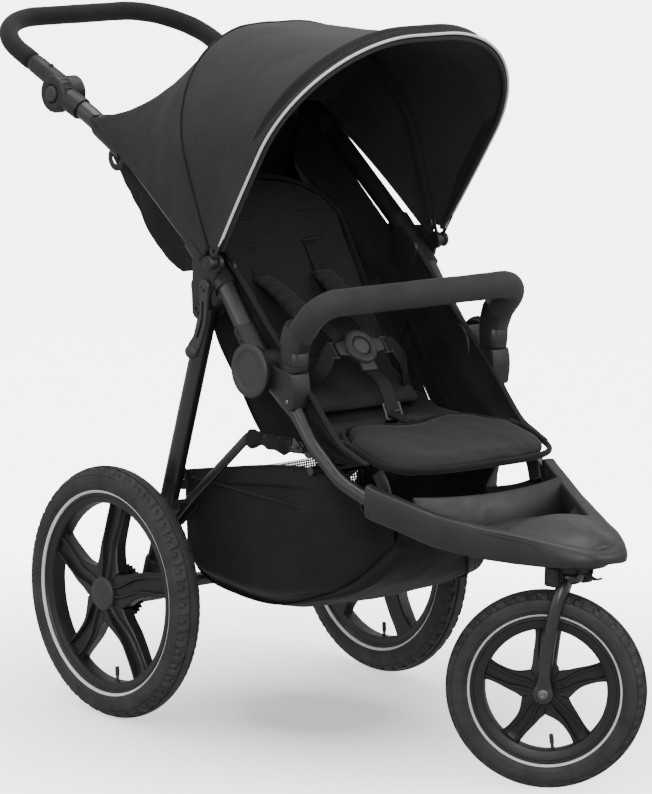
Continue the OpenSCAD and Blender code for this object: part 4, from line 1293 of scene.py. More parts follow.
def inflate(ob, voxel=6.0, pressure=4.0, travel=9.0, frames_run=16):
    """Puffs a closed shape up like a stuffed pad: a short cloth simulation, its travel capped."""
    m = ob.modifiers.new("remesh", "REMESH")
    m.mode = "VOXEL"
    m.voxel_size = voxel / 1000
    apply_modifiers(ob)
    ob.data.polygons.foreach_set("use_smooth", [True] * len(ob.data.polygons))
    before = np.array([v.co[:] for v in ob.data.vertices])
    m = ob.modifiers.new("cloth", "CLOTH")
    m.settings.quality = 4
    m.settings.mass = 0.15
    m.settings.tension_stiffness = 14
    m.settings.compression_stiffness = 14
    m.settings.bending_stiffness = 0.6
    m.settings.use_pressure = True
    m.settings.uniform_pressure_force = pressure
    m.settings.effector_weights.gravity = 0
    m.point_cache.frame_start = 1
    m.point_cache.frame_end = frames_run
    for f in range(1, frames_run + 1):
        SCENE.frame_set(f)
    deps = bpy.context.evaluated_depsgraph_get()
    me = ob.evaluated_get(deps).to_mesh()
    after = np.array([v.co[:] for v in me.vertices])
    ob.evaluated_get(deps).to_mesh_clear()
    ob.modifiers.clear()
    move = after - before
    size = np.linalg.norm(move, axis=1, keepdims=True)
    cap = travel / 1000
    move *= np.minimum(1.0, cap / np.maximum(size, 1e-9))
    ob.data.vertices.foreach_set("co", (before + move).ravel())
    SCENE.frame_set(1)
    return subdivide(ob, 1)


def bend_points(ob, fn):
    """Moves every vertex by a function of its place in millimetres."""
    for v in ob.data.vertices:
        p = Vector((v.co.x * 1000, (v.co.y - AXLE_Y) * 1000, v.co.z * 1000))
        v.co = at(*fn(p))
    ob.data.update()


def flat_pad(name, outline, z0, z1):
    """A plain pad from an (x, y) outline, lying flat."""
    return prism(name, outline, z0, z1, at)


def stitches(name, points, r=0.55, on=4.2, off=2.2):
    """A row of thread stitches along a line."""
    pts = resample(points, 0.8)
    parts = []
    step = int((on + off) / 0.8)
    run = int(on / 0.8)
    for i in range(0, len(pts) - run, step):
        parts.append(sweep("s", pts[i:i + run + 1:2], r, 6, up=(0.2, 0.3, 1)))
    return join(name, parts)


# ---- canopy ------------------------------------------------------------------------

MID_LEAN, VISOR_LEAN = math.radians(68), math.radians(122)
MID_CROWN, VISOR_CROWN = 363, 420
BOW_X, OVER, FOOT = 232, 8, 24


def arch_line(t, crown, over=0.0, half=BOW_X, corner=200):
    """Point (x, distance from the pivot) on a bow's line; t runs 0..1 from the left foot."""
    u = abs(2 * t - 1)
    side = 1 if t < 0.5 else -1
    w, r = half + over, crown + over
    c = corner + over
    leg = r - c - FOOT
    arc = c * math.pi / 2
    top = w - c
    total = leg + arc + top
    d = (1 - u) * total
    if d < leg:
        s = FOOT + d
        x = w - 9 * (1 - s / 240) ** 2
    elif d < leg + arc:
        a = (d - leg) / c
        s = r - c + c * math.sin(a)
        x = w - c + c * math.cos(a)
        if s < 240:
            x -= 9 * (1 - s / 240) ** 2
    else:
        s, x = r, top - (d - leg - arc)
    return side * x, s


def in_canopy(x, s, lean):
    return Vector((x, CANOPY[0] + s * math.cos(lean), CANOPY[1] + s * math.sin(lean)))


def canopy_point(u, v):
    """Front skin: u across from the left foot, v from the middle bow (0) to the visor (1)."""
    a = in_canopy(*arch_line(u, MID_CROWN, OVER), MID_LEAN)
    b = in_canopy(*arch_line(u, VISOR_CROWN, OVER), VISOR_LEAN)
    p = a + (b - a) * v
    c = in_canopy(0, 120, math.radians(95))
    inward = (c - p).normalized()
    edge = min(1.0, 5 * min(u, 1 - u))
    return p + inward * (5.5 * math.sin(math.pi * v) * edge)


def canopy_fade(u, v):
    return smoothstep(7 * min(v, 1 - v)) * (0.35 + 1.1 * abs(2 * u - 1) ** 2)


front, flat, area = surface("canopy_visor_cloth", canopy_point, 56, 140, 1.6, 2.4, 85, 3.0, canopy_fade)
piece(front, None, "canopy", ["canopy_front"])
mid_line = [in_canopy(*arch_line(t, MID_CROWN, OVER + 0.6), MID_LEAN) for t in np.linspace(0, 1, 200)]
visor_line = [in_canopy(*arch_line(t, VISOR_CROWN, OVER + 0.5), VISOR_LEAN) for t in np.linspace(0, 1, 220)]

mid_piping = sweep("canopy_seam_piping", resample(mid_line, 3), 2.4, 14, up=(0, 1, 0))
bend_points(mid_piping, lambda p: p + Vector((ripple(p, 30, 0.6, 2),) * 3))
piece(mid_piping, "canopy_middle", "panel")
visor_piping = sweep("canopy_edge_piping", resample(visor_line, 3), 2.2, 14, up=(0, 1, 0))
piece(visor_piping, "canopy_visor", "piping")


# facing folded inside the visor's edge
def facing_point(u, v):
    x, s = arch_line(u, VISOR_CROWN, OVER - 2.5)
    lean = VISOR_LEAN - math.radians(4.2) * v * 420 / max(s, 120)
    return in_canopy(x * (1 - 0.004 * v), s - 2.0 - 2.5 * math.sin(math.pi * v), lean)


facing, f_flat, f_area = surface("canopy_edge_facing", facing_point, 6, 140, 1.2)
piece(facing, "canopy_visor", "canopy_lining")
lip = sweep("canopy_edge_bead",
            [in_canopy(*arch_line(t, VISOR_CROWN, OVER - 7.5), VISOR_LEAN)
             for t in np.linspace(0.004, 0.996, 200)],
            (3.4, 5.0), 14, up=(0, 1, 0))
piece(lip, "canopy_visor", "canopy")
top_stitch = stitches("canopy_edge_stitch",
                      [in_canopy(*arch_line(t, VISOR_CROWN, OVER + 0.9), VISOR_LEAN - math.radians(1.7))
                       for t in np.linspace(0.01, 0.99, 200)])
piece(top_stitch, "canopy_visor", "grey_plastic")

HEM_FOOT = Vector((0, CANOPY[0] + 24, CANOPY[1] + 3))
HEM_TOP = Vector((0, 140, 930))


def hem_point(u):
    """Hem of the rear skin: along one pushbar, across behind, and back down the other."""
    side = 1 if u < 0.5 else -1
    k = 1 - abs(2 * u - 1)
    part = 0.60
    if k < part:
        t = k / part
        p = HEM_FOOT.lerp(HEM_TOP, t)
        bow_out = 4 * math.sin(math.pi * t)
        return Vector((side * (237 - 3 * t), p.y - bow_out, p.z + bow_out * 1.4))
    t = (k - part) / (1 - part)
    x = 234 * (1 - t)
    dip = 22 * math.sin(math.pi * t / 2) ** 2
    return Vector((side * x, HEM_TOP.y + 6 * t, HEM_TOP.z - dip))


def rear_point(u, v):
    """Rear skin: v from the middle bow (0) to the hem (1)."""
    a = in_canopy(*arch_line(u, MID_CROWN, OVER), MID_LEAN)
    b = hem_point(u)
    p = a.lerp(b, v)
    sag = math.sin(math.pi * v) * math.sin(math.pi * u) ** 0.8
    corner = math.exp(-((1 - abs(2 * u - 1) - 0.60) / 0.16) ** 2)
    return p - Vector((0, 0, 15 * sag)) - Vector((0, -7 * corner * math.sin(math.pi * v),
                                                  7 * corner * math.sin(math.pi * v)))


def rear_fade(u, v):
    return smoothstep(6 * min(v, 1 - v))


rear, r_flat, r_area = surface("canopy_rear_cloth", rear_point, 44, 140, 1.6, 4.5, 75, 7.0, rear_fade)
piece(rear, None, "canopy", ["canopy_rear"])
hem_line = [hem_point(t) + Vector((0, 0, 0.5)) for t in np.linspace(0, 1, 240)]
hem_bead = sweep("canopy_hem", resample(hem_line, 4), (2.2, 5.5), 14, up=(0, -0.6, 1))
piece(hem_bead, "upper_frame", "canopy")

for name, crown, lean, body, lift, node in (
        ("middle_bow", MID_CROWN, MID_LEAN, "canopy_middle", 0, "mid_bow"),
        ("visor_bow_rod", VISOR_CROWN, VISOR_LEAN, "canopy_visor", 4, "visor_bow")):
    pts = [in_canopy(*arch_line(t, crown), lean) for t in np.linspace(0, 1, 160)]
    parts = [sweep("rod", resample(pts, 5), 3.5, 14, up=(0, 1, 0))]
    for s in (-1, 1):
        foot = [in_canopy(s * (228.5 + lift + 1.75), r, lean) for r in (8, 20, 36, 50)]
        parts.append(sweep("tab", foot, (1.75, 3.4), 16,
                           up=(0, math.cos(lean + math.pi / 2), math.sin(lean + math.pi / 2))))
        parts.append(x_turned("eye",
                              [(4.1, 228.5 + lift), (9.4, 228.5 + lift), (10, 229.1 + lift),
                               (10, 231.4 + lift), (9.4, 232 + lift), (4.1, 232 + lift)], s, CANOPY))
    piece(shade_by_angle(join(name, parts), 45), body, "plastic", [node])
sleeve_line = [in_canopy(*arch_line(t, MID_CROWN, -1), MID_LEAN) for t in np.linspace(0.01, 0.99, 160)]
sleeve = sweep("canopy_bow_sleeve", resample(sleeve_line, 4), (6.0, 7.0), 16, up=(0, 1, 0))
bend_points(sleeve, lambda p: p + Vector((ripple(p, 18, 1.6, 4),) * 3))
piece(sleeve, "canopy_middle", "canopy_lining")

hinges = []
for s in (-1, 1):
    hinges.append(x_turned("pin", [(0.01, 226), (4, 226), (4, 237), (0.01, 237)], s, CANOPY))
    hinges.append(x_turned("cap",
                           [(0.01, 236.6), (9, 236.6), (11.5, 238), (12, 241.5), (10.5, 243.5), (6, 244.4),
                            (0.01, 244.6)], s, CANOPY))
    hinges.append(x_turned("boss",
                           [(0.01, 220), (13, 220), (14, 221), (14, 227), (12, 228.2), (0.01, 228.2)], s,
                           CANOPY))
piece(shade_by_angle(join("canopy_hinge_caps", hinges), 40), "upper_frame", "plastic", ["canopy_hinges"])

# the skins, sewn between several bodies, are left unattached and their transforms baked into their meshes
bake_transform(rear)
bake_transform(front)


# ---- seat --------------------------------------------------------------------------
def rest_outline(grow=0.0):
    """Leg rest seen from above: two lobes behind, a wide rounded front."""
    pts = []
    for k in range(96):
        a = 2 * math.pi * k / 96
        c, s = math.cos(a), math.sin(a)
        # front half of a rounded box, rear edge with a dip at the crotch strap
        e = 0.52
        x = 172 * math.copysign(abs(c) ** e, c)
        y = -452 + 102 * math.copysign(abs(s) ** 0.62, s)
        if s > 0.2:
            y -= 16 * math.exp(-(x / 44) ** 2) + 30 * smoothstep((abs(x) - 118) / 54)
        pts.append((x + grow * c, y + grow * s))
    return pts


def rest_height(p):
    """How far the leg rest's middle surface lies above z = 470."""
    slope = np.interp(p.y, (-560, -500, -440, -390, -340), (-3, 4, 12, 21, 31))
    wrap = 9 * (abs(p.x) / 172) ** 4 * smoothstep((p.y + 520) / 90)
    return slope + wrap


rest = flat_pad("leg_rest_pad", rest_outline(-5), 462, 478)
inflate(rest, 6.0, 4.0, 6.0)
bend_points(rest,
            lambda p: Vector((p.x, p.y,
                              p.z + rest_height(p)
                              - 3.0 * math.exp(-((p.y + 480) / 60) ** 2) * math.cos(p.x / 110)
                              + ripple(p, 70, 2.6, 9) + ripple(p, 28, 0.8, 4))))
piece(rest, None, "pad", ["leg_rest"])
edge = [Vector((x, y, 469 + rest_height(Vector((x, y, 0))))) for x, y in rest_outline(0.5)]
piping = sweep("leg_rest_binding", resample(edge + edge[:1], 4)[:-1] + [edge[0]], (4.2, 5.2), 14,
               up=(0, 0, 1), caps=False)
piece(piping, None, "panel")
for ob in (rest, piping):
    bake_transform(ob)

base = flat_pad("seat_base_pad", round_outline([(-172, -392), (172, -392), (168, -196), (-168, -196)], 26),
                460, 478)
inflate(base, 6.0, 4.0, 5.0)
bend_points(base,
            lambda p: Vector((p.x, p.y,
                              p.z + 4 + 12 * (abs(p.x) / 166) ** 4 + 22 * smoothstep((p.y + 262) / 60)
                              + ripple(p, 50, 2.0, 12))))
piece(base, "chassis", "seat", ["seat_pad"])

SLOPE = math.radians(57)


def on_back(x, up, out=0.0):
    return Vector((x, RECLINE[0] + up * math.cos(SLOPE) - out * math.sin(SLOPE),
                   RECLINE[1] + up * math.sin(SLOPE) + out * math.cos(SLOPE)))


def back_outline():
    pts = [(-128, 20), (128, 20), (134, 60), (138, 200), (139, 330)]
    pts += [(139 * math.cos(a), 344 + 104 * math.sin(a)) for a in np.linspace(0.1, math.pi - 0.1, 26)]
    pts += [(-139, 330), (-138, 200), (-134, 60)]
    return pts


back = flat_pad("backrest_pad", back_outline(), -8, 8)
inflate(back, 7.0, 4.0, 8.0)


def curve_back(p):
    """Lays the flat pad on the slope, hollowed a little across and soft at its foot."""
    hollow = 16 * (p.x / 140) ** 2
    lumbar = 7 * math.exp(-((p.y - 150) / 70) ** 2)
    return on_back(p.x, p.y, p.z + 1 + hollow - 6 + lumbar + ripple(p, 60, 3.5, 15) + ripple(p, 24, 1.1, 5))


bend_points(back, curve_back)
piece(back, "backrest", "seat", ["backrest"])
loop = [(x * 1.01, y * 1.005 - 1) for x, y in back_outline()]
edge = [on_back(x, y, 1 + 16 * (x / 140) ** 2 - 6) for x, y in loop]
piece(sweep("backrest_binding", resample(edge + edge[:1], 5)[:-1] + [edge[0]], (4.0, 4.6), 12,
            up=(0, -1, 0.5), caps=False), "backrest", "panel")

# soft insert at the foot of the back, and the slots the harness comes through
lower = flat_pad("lumbar_pad", round_outline([(-124, 6), (124, 6), (118, 120), (-118, 120)], 22), -5, 5)
inflate(lower, 6.0, 4.0, 5.0)
bend_points(lower,
            lambda p: on_back(p.x, p.y + 6,
                              p.z + 22 + 30 * smoothstep((90 - p.y) / 90) + 12 * (p.x / 140) ** 2
                              + ripple(p, 45, 2.2, 21)))
piece(lower, "backrest", "pad")

slots = []
for s in (-1, 1):
    for up in (372, 326):
        line = [on_back(s * x, up - 3 * abs(x - 62) / 24, 12 + 16 * (x / 140) ** 2)
                for x in np.linspace(40, 84, 14)]
        slots.append(sweep("slot", line, (3.2, 1.6), 12, up=(0, -1, 0.6)))
piece(join("harness_slots", slots), "backrest", "web")


# ---- harness -----------------------------------------------------------------------
WEBBING_EDGE = ((-1, -0.55), (-0.98, -0.9), (-0.9, -1), (-0.45, -0.85), (0, -1), (0.45, -0.85),
                (0.9, -1), (0.98, -0.9), (1, -0.55))
WEBBING_SECTION = WEBBING_EDGE + tuple((-a, -b) for a, b in WEBBING_EDGE)
WEBBING_HALF = 1.5


def strap(name, points, width, side=(1, 0, 0)):
    """A flat webbing strap along points; side is the direction of its width."""
    path = spline(points, 40)
    tangent = (path[1] - path[0]).normalized()
    up = -tangent.cross(Vector(side))
    return sweep(name, path, (width / 2, WEBBING_HALF), up=tuple(up), section=WEBBING_SECTION)


BUCKLE = Vector((0, -249, 600))
TIP = math.radians(49)


def on_buckle(x, up, out=0.0):
    """x across, up along the buckle's face, out of its face."""
    return BUCKLE + Vector((x, up * math.cos(TIP) - out * math.sin(TIP),
                            up * math.sin(TIP) + out * math.cos(TIP)))


OUT = Vector((0, -math.sin(SLOPE), math.cos(SLOPE)))
for side, s in SIDES:
    # ribbed, padded shoulder sleeve
    w, l = 23, 122
    top_at, low_at = on_back(s * (62 - s * 8), 268, 18), on_back(s * (47 + s), 170, 58)
    pts = round_outline([(-w, 0), (w, 0), (w - 2, l), (-w + 2, l)], 9)
    pad = flat_pad("shoulder_pad_" + side, pts, -5, 5)
    inflate(pad, 4.5, 4.0, 5.0)

    def shape(p, s=s):
        rib = 1.5 * math.cos(p.y / 11 * math.pi) * smoothstep((w - abs(p.x)) / 5) * (1 if p.z > 0 else 0)
        arch = 7 * math.sin(math.pi * p.y / l)
        q = low_at.lerp(top_at, p.y / l)
        return q + OUT * (p.z + arch + rib - 3 * (p.x / w) ** 2) + Vector((p.x, 0, 0))
    bend_points(pad, shape)
    piece(pad, "backrest", "pad", ["shoulder_harness"] if s > 0 else ())
    top = strap("shoulder_strap_" + side,
                [on_back(top_at.x, 326, 6), on_back(top_at.x, 318, 15), top_at, top_at.lerp(low_at, 0.3)],
                25)
    piece(top, "backrest", "web")
    low = strap("shoulder_webbing_" + side,
                [top_at.lerp(low_at, 0.85), low_at, low_at.lerp(on_buckle(s * 30, 20), 0.6) + OUT * 6,
                 on_buckle(s * 30, 14, -2)], 25)
    piece(low, None, "web")
    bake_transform(low)


def buckle_lathe(name, prof, steps=64):
    rows = [[on_buckle(r * math.cos(2 * math.pi * i / steps), r * math.sin(2 * math.pi * i / steps), z)
             for r, z in prof] for i in range(steps)]
    return ring_mesh(name, rows, lambda p: at(*p))


def buckle_plate(name, outline, z0, z1, soft=1.2):
    return bevel(prism(name, outline, z0, z1, lambda x, y, z: at(*on_buckle(x, y, z))), soft, 2)


body = [buckle_lathe("case",
                     [(0.01, -8), (25, -8), (29, -6), (30.5, -1), (30.5, 4), (29.5, 7.5), (27, 9.6),
                      (19, 10.2), (17, 9.2), (16, 6.4), (15.6, 6.4), (15.6, -1.5), (0.01, -1.5)])]
for s in (-1, 1):
    body.append(buckle_plate("wing",
                             round_outline([(s * 24, -14), (s * 46, -10), (s * 47, 10), (s * 24, 15)], 3),
                             -5, 5))
    for k in (0, 1):
        body.append(buckle_plate("bar",
                                 [(s * (50 + 9 * k), -15), (s * (53 + 9 * k), -15), (s * (53 + 9 * k), 15),
                                  (s * (50 + 9 * k), 15)], -2, 3, 0.8))
    for y in (-15, 12):
        body.append(buckle_plate("rail", [(s * 46, y), (s * 62, y), (s * 62, y + 3), (s * 46, y + 3)], -2,
                                 2.4, 0.8))
body.append(buckle_plate("tongue", round_outline([(-15, -26), (15, -26), (15, -42), (-15, -42)], 3), -4, 4))
piece(shade_by_angle(join("buckle_case", body), 42), "chassis", "grey_plastic", ["harness_buckle"])
button = buckle_lathe("buckle_press",
                      [(0.01, 2.5), (14.9, 2.5), (14.9, 7.5), (13.8, 9.0), (9, 9.7), (0.01, 10)])
piece(shade_by_angle(button, 50), "buckle_button", "clear_grey", ["buckle_button"])

straps = []
foot = Vector((0, -312, 484))
straps.append(strap("crotch",
                    [on_buckle(0, -38, -3), (0, -306, 556), (0, -326, 528), (1, -333, 512), (1, -330, 496),
                     foot], 26))
straps.append(strap("tail", [(2, -331, 508), (4, -344, 506), (7, -356, 502), (9, -366, 503)], 24))
for s in (-1, 1):
    straps.append(strap("lap",
                        [on_buckle(s * 52, 0, 1), on_buckle(s * 64, -3, 3), (s * 84, -258, 572),
                         (s * 106, -240, 540), (s * 122, -238, 508), (s * 130, -240, 484)], 25,
                        side=(0, 0.66, 0.75)))
piece(join("lap_webbing", straps), "chassis", "web", ["lap_harness"])
slider = []
for dz, dy in ((0, 0), (11, 7), (22, 14)):
    slider.append(block("bar", (1, -338 + dy * 0.8, 503 + dz), (34, 3.2, 3.2), 1.2, 2))
for x in (-15, 17):
    slider.append(sweep("rail",
                        [Vector((x, -338, 503)), Vector((x, -332.4, 514)), Vector((x, -326.8, 525))], 1.9,
                        10, up=(1, 0, 0)))
piece(shade_by_angle(join("strap_slider", slider), 40), "chassis", "clear_grey")


# ---- seat sides, wings and apron ------------------------------------------------------

F_EDGE = [(-486, 474), (-452, 486), (-418, 503), (-345, 573), (-256, 650), (-196, 706), (-158, 738)]
R_EDGE = [(-442, 464), (-400, 462), (-353, 466), (-250, 472), (-176, 556), (-130, 618), (-108, 684)]
for side, s in SIDES:
    f_points = [(s * x, y, z) for x, (y, z) in zip((182, 185, 186, 188, 188, 188, 188), F_EDGE)]
    f_curve = Curve(f_points)
    r_curve = Curve([(s * x, y, z) for x, (y, z) in zip((172, 173, 174, 176, 182, 186, 188), R_EDGE)])

    def side_point(u, v, s=s):
        p = f_curve(v).lerp(r_curve(v), u)
        dent = 12 * math.sin(math.pi * u) * math.sin(math.pi * v) ** 0.7
        ends = smoothstep(v * 3) * smoothstep((1 - v) * 3)
        folds = 2.6 * math.sin(u * 17 + 5 * v) * math.sin(math.pi * u) * ends
        return p - Vector((s * (dent + folds), 0, 0))
    ob, flat, area = surface("seat_side_" + side, side_point, 50, 26, 1.6, 4.0, 40, 11.0 + s)
    piece(ob, "chassis", "panel", ["seat_sides"] if s > 0 else ())
    binding = sweep("seat_side_binding_" + side, spline(f_points, 90), (2.0, 5.5), 12, up=(1, 0, 0))
    piece(binding, "chassis", "seat")
    lower = spline([(s * x, y, z) for x, (y, z) in zip((174, 178, 182, 186, 188), R_EDGE[2:])], 60)
    back_binding = sweep("seat_side_hem_" + side, lower, (2.0, 3.2), 12, up=(1, 0, 0))
    piece(back_binding, "chassis", "panel")

    # gusset that folds between the seat's side and the edge of the backrest
    def gusset_point(u, v, s=s):
        up = 12 + 250 * v
        inner = on_back(s * (126 + 10 * v), up, -4)
        outer = r_curve(0.42 + 0.58 * v) + Vector((-s * 3, 0, 0))
        sag = math.sin(math.pi * u)
        fold = Vector((0, 3, 3)) * math.sin(u * 13 + 3 * v) * sag
        return inner.lerp(outer, u) + Vector((0, 14 * sag, -9 * sag)) + fold
    ob, flat, area = surface("seat_gusset_" + side, gusset_point, 50, 20, 1.5, 4.0, 42, 51.0 + s)
    piece(ob, None, "panel")
    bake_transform(ob)

    # gathered roll of cloth under the seat's edge, drawn up on elastic
    path = spline([(s * 205, -238, 480), (s * 206, -262, 479), (s * 206, -300, 479), (s * 205, -344, 480)],
                  120)
    roll = sweep("seat_gather_" + side, path, lambda t: (10, 12 + 1.6 * math.sin(t * 17)), 30, up=(0, 0, 1))
    bend_points(roll,
                lambda p: p + Vector((ripple(p, 22, 4.0, 3), ripple(p, 22, 3.0, 6),
                                      ripple(p, 24, 7.0, 8) + ripple(p, 9, 2.0, 2))))
    piece(roll, "brace_" + side, "panel")

    # wing of cloth from the backrest's edge up to the pushbar
    def wing_point(u, v, s=s):
        up = 60 + 385 * v
        inner = on_back(s * (137 - 40 * smoothstep((v - 0.72) / 0.28)), up, -2)
        outer = Vector((s * (197 + 4 * v), -172 + 300 * v, 689 + 232 * v))
        p = inner.lerp(outer, u)
        folds = (6.5 * math.sin(u * 8.5 + 1.0 + 2.0 * v)
                 + 2 * math.sin(u * 21 + 4 * v)) * math.sin(math.pi * u)
        back = Vector((0, 0.8, -0.5)) * (26 * math.sin(math.pi * u))
        return p + back + Vector((-s * 0.35, -0.75, 0.45)) * folds
    ob, flat, area = surface("seat_wing_" + side, wing_point, 60, 40, 1.5, 5.0, 55, 17.0 + s)
    piece(ob, "upper_frame", "panel")
    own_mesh(ob)

APRON = [(150, 926), (136, 868), (96, 818), (50, 768), (4, 732), (-26, 716), (-42, 708)]
BAR_LINE = [(162, 930), (128, 906), (86, 878), (40, 845), (-14, 806), (-70, 766), (-118, 728)]
apron_low = Curve([(0, y, z) for y, z in APRON])
apron_bar = Curve([(0, y, z) for y, z in BAR_LINE])


def apron_point(u, v):
    """A tub of cloth slung between the pushbars behind the seat; u across, v downwards."""
    a = abs(2 * u - 1)
    side = 1 if u < 0.5 else -1
    # from the bar (a = 1) down the side, round the corner and across the middle
    if a > 0.72:
        t = (1 - a) / 0.28
        p = apron_bar(v).lerp(apron_low(v), smoothstep(t) * 0.5 + t * 0.5)
        x = 198 - 10 * smoothstep(t)
    else:
        t = a / 0.72
        p = apron_low(v)
        x = 188 * t ** 0.9
        p += Vector((0, 0.75, -0.66)) * (10 * (1 - t ** 2)) * math.sin(math.pi * v)
    return Vector((side * x, p.y, p.z))


apron, flat, area = surface("seat_back_apron", apron_point, 60, 120, 1.5, 6.0, 60, 23.0)
piece(apron, "upper_frame", "panel", ["rear_apron"])
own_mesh(apron)


# ---- basket ------------------------------------------------------------------------

# Edges of a side panel, from the rear (0) to the front (1)
basket_rim = Curve([(0, *q)
                    for q in ((-50, 392), (-160, 415), (-270, 436), (-360, 444), (-415, 424), (-446, 392))])
basket_low = Curve([(0, *q)
                    for q in ((-58, 262), (-80, 226), (-160, 215), (-250, 215), (-330, 232), (-405, 262),
                              (-455, 330))])


def basket_side_point(u, v, s):
    """u from the rim down to the floor, v from the rear to the front."""
    top, low = basket_rim(v), basket_low(v)
    p = top.lerp(low, u)
    x = 181 - 3 * u + 9 * math.sin(math.pi * u) * math.sin(math.pi * v) - 26 * smoothstep((u - 0.86) / 0.14)
    x -= 84 * smoothstep((v - 0.62) / 0.38)
    return Vector((s * x, p.y, p.z - 3 * math.sin(math.pi * v) * u))


sides = []
for side, s in SIDES:
    ob, flat, area = surface("basket_side_" + side, lambda u, v, s=s: basket_side_point(u, v, s), 60, 44,
                             1.6, 5.0, 70, 31.0 + s)
    piece(ob, "chassis", "basket", ["basket"] if s > 0 else ())
    rim = [basket_side_point(0, t, s) for t in np.linspace(0, 1, 61)]

    # wide dark band sewn along the rim
    def band_point(u, v, s=s):
        p = basket_side_point(u * 0.14, v, s)
        return p + Vector((s * 1.6, 0, 0)) + Vector((s * math.sin(math.pi * u), 0, 0))
    band, bf, ba = surface("basket_band_" + side, band_point, 60, 6, 1.2, 0.8, 30, 3.0)
    piece(band, "chassis", "web")
    bead = sweep("basket_rim_" + side, rim, (2.4, 3.0), 12, up=(1, 0, 0))
    piece(bead, "chassis", "web")
    # cord of piping level along the side, under the band
    line = []
    for v in np.linspace(0.04, 0.96, 50):
        top, low = basket_rim(v), basket_low(v)
        u = min(0.9, max(0.03, (top.z - 386) / (top.z - low.z)))
        line.append(basket_side_point(u, v, s) + Vector((s * 2.6, 0, 0)))
    seam = sweep("basket_seam_" + side, line, 2.2, 10, up=(1, 0, 0))
    piece(seam, "chassis", "seat")
    low_seam = sweep("basket_floor_seam_" + side,
                     [basket_side_point(0.93, t, s) + Vector((s, 0, 0))
                      for t in np.linspace(0.0, 1, 60)], 2.0, 10, up=(1, 0, 0))
    piece(low_seam, "chassis", "web")


basket_keel = Curve([(0, *q)
                     for q in ((-52, 330), (-60, 262), (-80, 224), (-160, 211), (-250, 212), (-330, 234),
                               (-400, 268), (-446, 320), (-456, 356), (-440, 392))])


def basket_floor_point(u, v):
    """The floor and the front flap: u across, v from the rear edge to the front top."""
    p = basket_keel(v).copy()
    a = 2 * u - 1
    half = 158 - 70 * smoothstep((v - 0.52) / 0.38) + 20 * smoothstep((0.25 - v) / 0.2)
    sag = 13 * (1 - a * a) * math.sin(math.pi * min(1, v * 1.25)) ** 0.8
    return Vector((half * a, p.y - 4 * (1 - a * a) * smoothstep((v - 0.8) / 0.2), p.z - sag))


ob, flat, area = surface("basket_floor", basket_floor_point, 100, 50, 1.6, 5.0, 80, 41.0)
piece(ob, "chassis", "panel")


def basket_back_point(u, v):
    a = 2 * u - 1
    return Vector((178 * a, -50 + 6 * (1 - a * a) - 12 * v, 392 - 62 * v - 10 * (1 - a * a) * (1 - v)))


ob, flat, area = surface("basket_back", basket_back_point, 14, 50, 1.4, 2.0, 60, 43.0)
piece(ob, "chassis", "net")

loops = []
for s in (-1, 1):
    loops.append(strap("loop",
                       [(s * 181, -56, 392), (s * 190, -50, 386), (s * 198, -44, 378), (s * 190, -52, 372),
                        (s * 182, -60, 372)], 16, side=(0, 0.3, 1)))
    loops.append(strap("loop2", [(s * 97, -446, 393), (s * 146, -468, 398), (s * 190, -482, 411)], 18,
                       side=(0, 0.5, 1)))
piece(join("basket_straps", loops), "chassis", "web")


# ---- floor, light and camera -----------------------------------------------------------

# The floor and backdrop glow so they look evenly bright; near the stroller the glow is turned down, which paints a
# shadow under it.
floor_mat = Shader("studio_floor_painted_shadow", (0.93, 0.93, 0.935), 0.6, Emission_Color=(1, 1, 1, 1))
floor_mat.vary_roughness(floor_mat.noise(3, 2), 0.5, 0.6)
# Painted shadow: the glow falls from 5.0 beyond 1.3 m to 0.15 at the middle, darkening the floor under the stroller.
painted_shadow_falloff = floor_mat.node("ShaderNodeVectorMath", operation="LENGTH")
floor_mat.link(floor_mat.coords(), painted_shadow_falloff.inputs[0])
floor_mat.link(floor_mat.span(painted_shadow_falloff.outputs["Value"], 0.1, 1.3, 0.15, 5.0),
               floor_mat.bsdf.inputs["Emission Strength"])


def studio(name, profile, casts_shadow, turns=96):
    """A round piece of the studio from an (r, z) profile in metres. It is seen, but lights nothing."""
    m = len(profile)
    verts = [(r * math.cos(2 * math.pi * k / turns), r * math.sin(2 * math.pi * k / turns), z)
             for k in range(turns) for r, z in profile]
    faces = [(k * m + i, (k + 1) % turns * m + i, (k + 1) % turns * m + i + 1, k * m + i + 1)
             for k in range(turns) for i in range(m - 1)]
    me = bpy.data.meshes.new(name)
    me.from_pydata(verts, [], faces)
    me.polygons.foreach_set("use_smooth", [True] * len(me.polygons))
    me.materials.append(floor_mat.mat)
    ob = bpy.data.objects.new(name, me)
    SCENE.collection.objects.link(ob)
    ob.visible_diffuse = False
    ob.visible_glossy = False
    ob.visible_shadow = casts_shadow


studio("studio_floor_painted_shadow", [(0.001, 0), (3, 0), (12, 0)], True)
studio("studio_wall",
       [(12, 0)] + [(40 + 2 * math.sin(a), 2 - 2 * math.cos(a)) for a in np.linspace(0, math.pi / 2, 12)]
       + [(42, 40)], False)

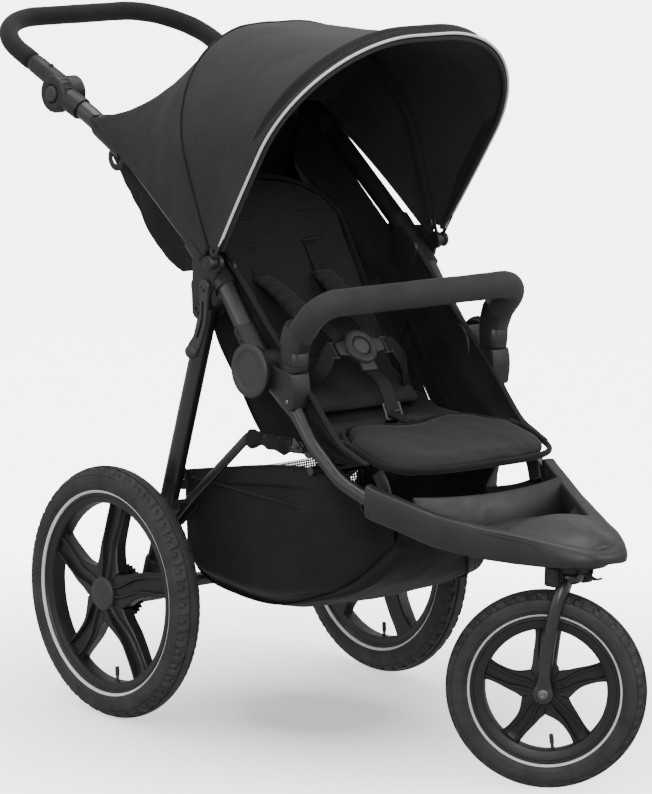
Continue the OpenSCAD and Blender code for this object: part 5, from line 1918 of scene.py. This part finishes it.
world = bpy.data.worlds.new("studio")
SCENE.world = world
world.use_nodes = True
world.node_tree.nodes["Background"].inputs["Color"].default_value = (1, 1, 1, 1)
world.node_tree.nodes["Background"].inputs["Strength"].default_value = 0.65


def area_light(name, place, target, size, power, ratio=1.0):
    data = bpy.data.lights.new(name, "AREA")
    data.shape = "RECTANGLE"
    data.size = size
    data.size_y = size * ratio
    data.energy = power
    ob = bpy.data.objects.new(name, data)
    ob.location = place
    ob.rotation_euler = (Vector(target) - Vector(place)).to_track_quat("-Z", "Y").to_euler()
    SCENE.collection.objects.link(ob)


CAM = Vector((-5.30392, -6.18656, 2.01738))
RIGHT = Vector((0.75929, -0.65075, 0))
UP = Vector((0.118285, 0.138015, 0.983341))
BACK = Vector((-0.639909, -0.746643, 0.181768))
mid = Vector((0, 0, 0.55))
area_light("top_softbox", mid + Vector((0.2, 0.3, 3.4)), mid, 3.2, 110)
area_light("left_softbox", mid - RIGHT * 3.0 + BACK * 1.6 + Vector((0, 0, 1.3)), mid, 2.2, 32, 1.3)
area_light("right_softbox", mid + RIGHT * 3.0 + BACK * 0.9 + Vector((0, 0, 1.5)), mid, 1.8, 46, 1.3)
area_light("front_fill", mid + BACK * 4.6 + Vector((0, 0, 1.4)), mid, 2.6, 140)

roll = 0.026
x_axis = RIGHT * math.cos(roll) + UP * math.sin(roll)
y_axis = UP * math.cos(roll) - RIGHT * math.sin(roll)
data = bpy.data.cameras.new("camera")
data.lens = 239.5
data.sensor_width = 36
data.sensor_fit = "AUTO"
data.clip_end = 200
camera = bpy.data.objects.new("camera", data)
camera.matrix_world = Matrix((x_axis, y_axis, BACK)).transposed().to_4x4()
camera.matrix_world.translation = CAM
SCENE.collection.objects.link(camera)
SCENE.camera = camera


# ---- what is left of the CAD -------------------------------------------------------------

for name in ("rear_bearings_left", "rear_bearings_right"):
    ob = frame["nodes"][name]
    ob.data.materials.clear()
    ob.data.materials.append(MAT["steel"])
    for poly in ob.data.polygons:
        poly.material_index = 0
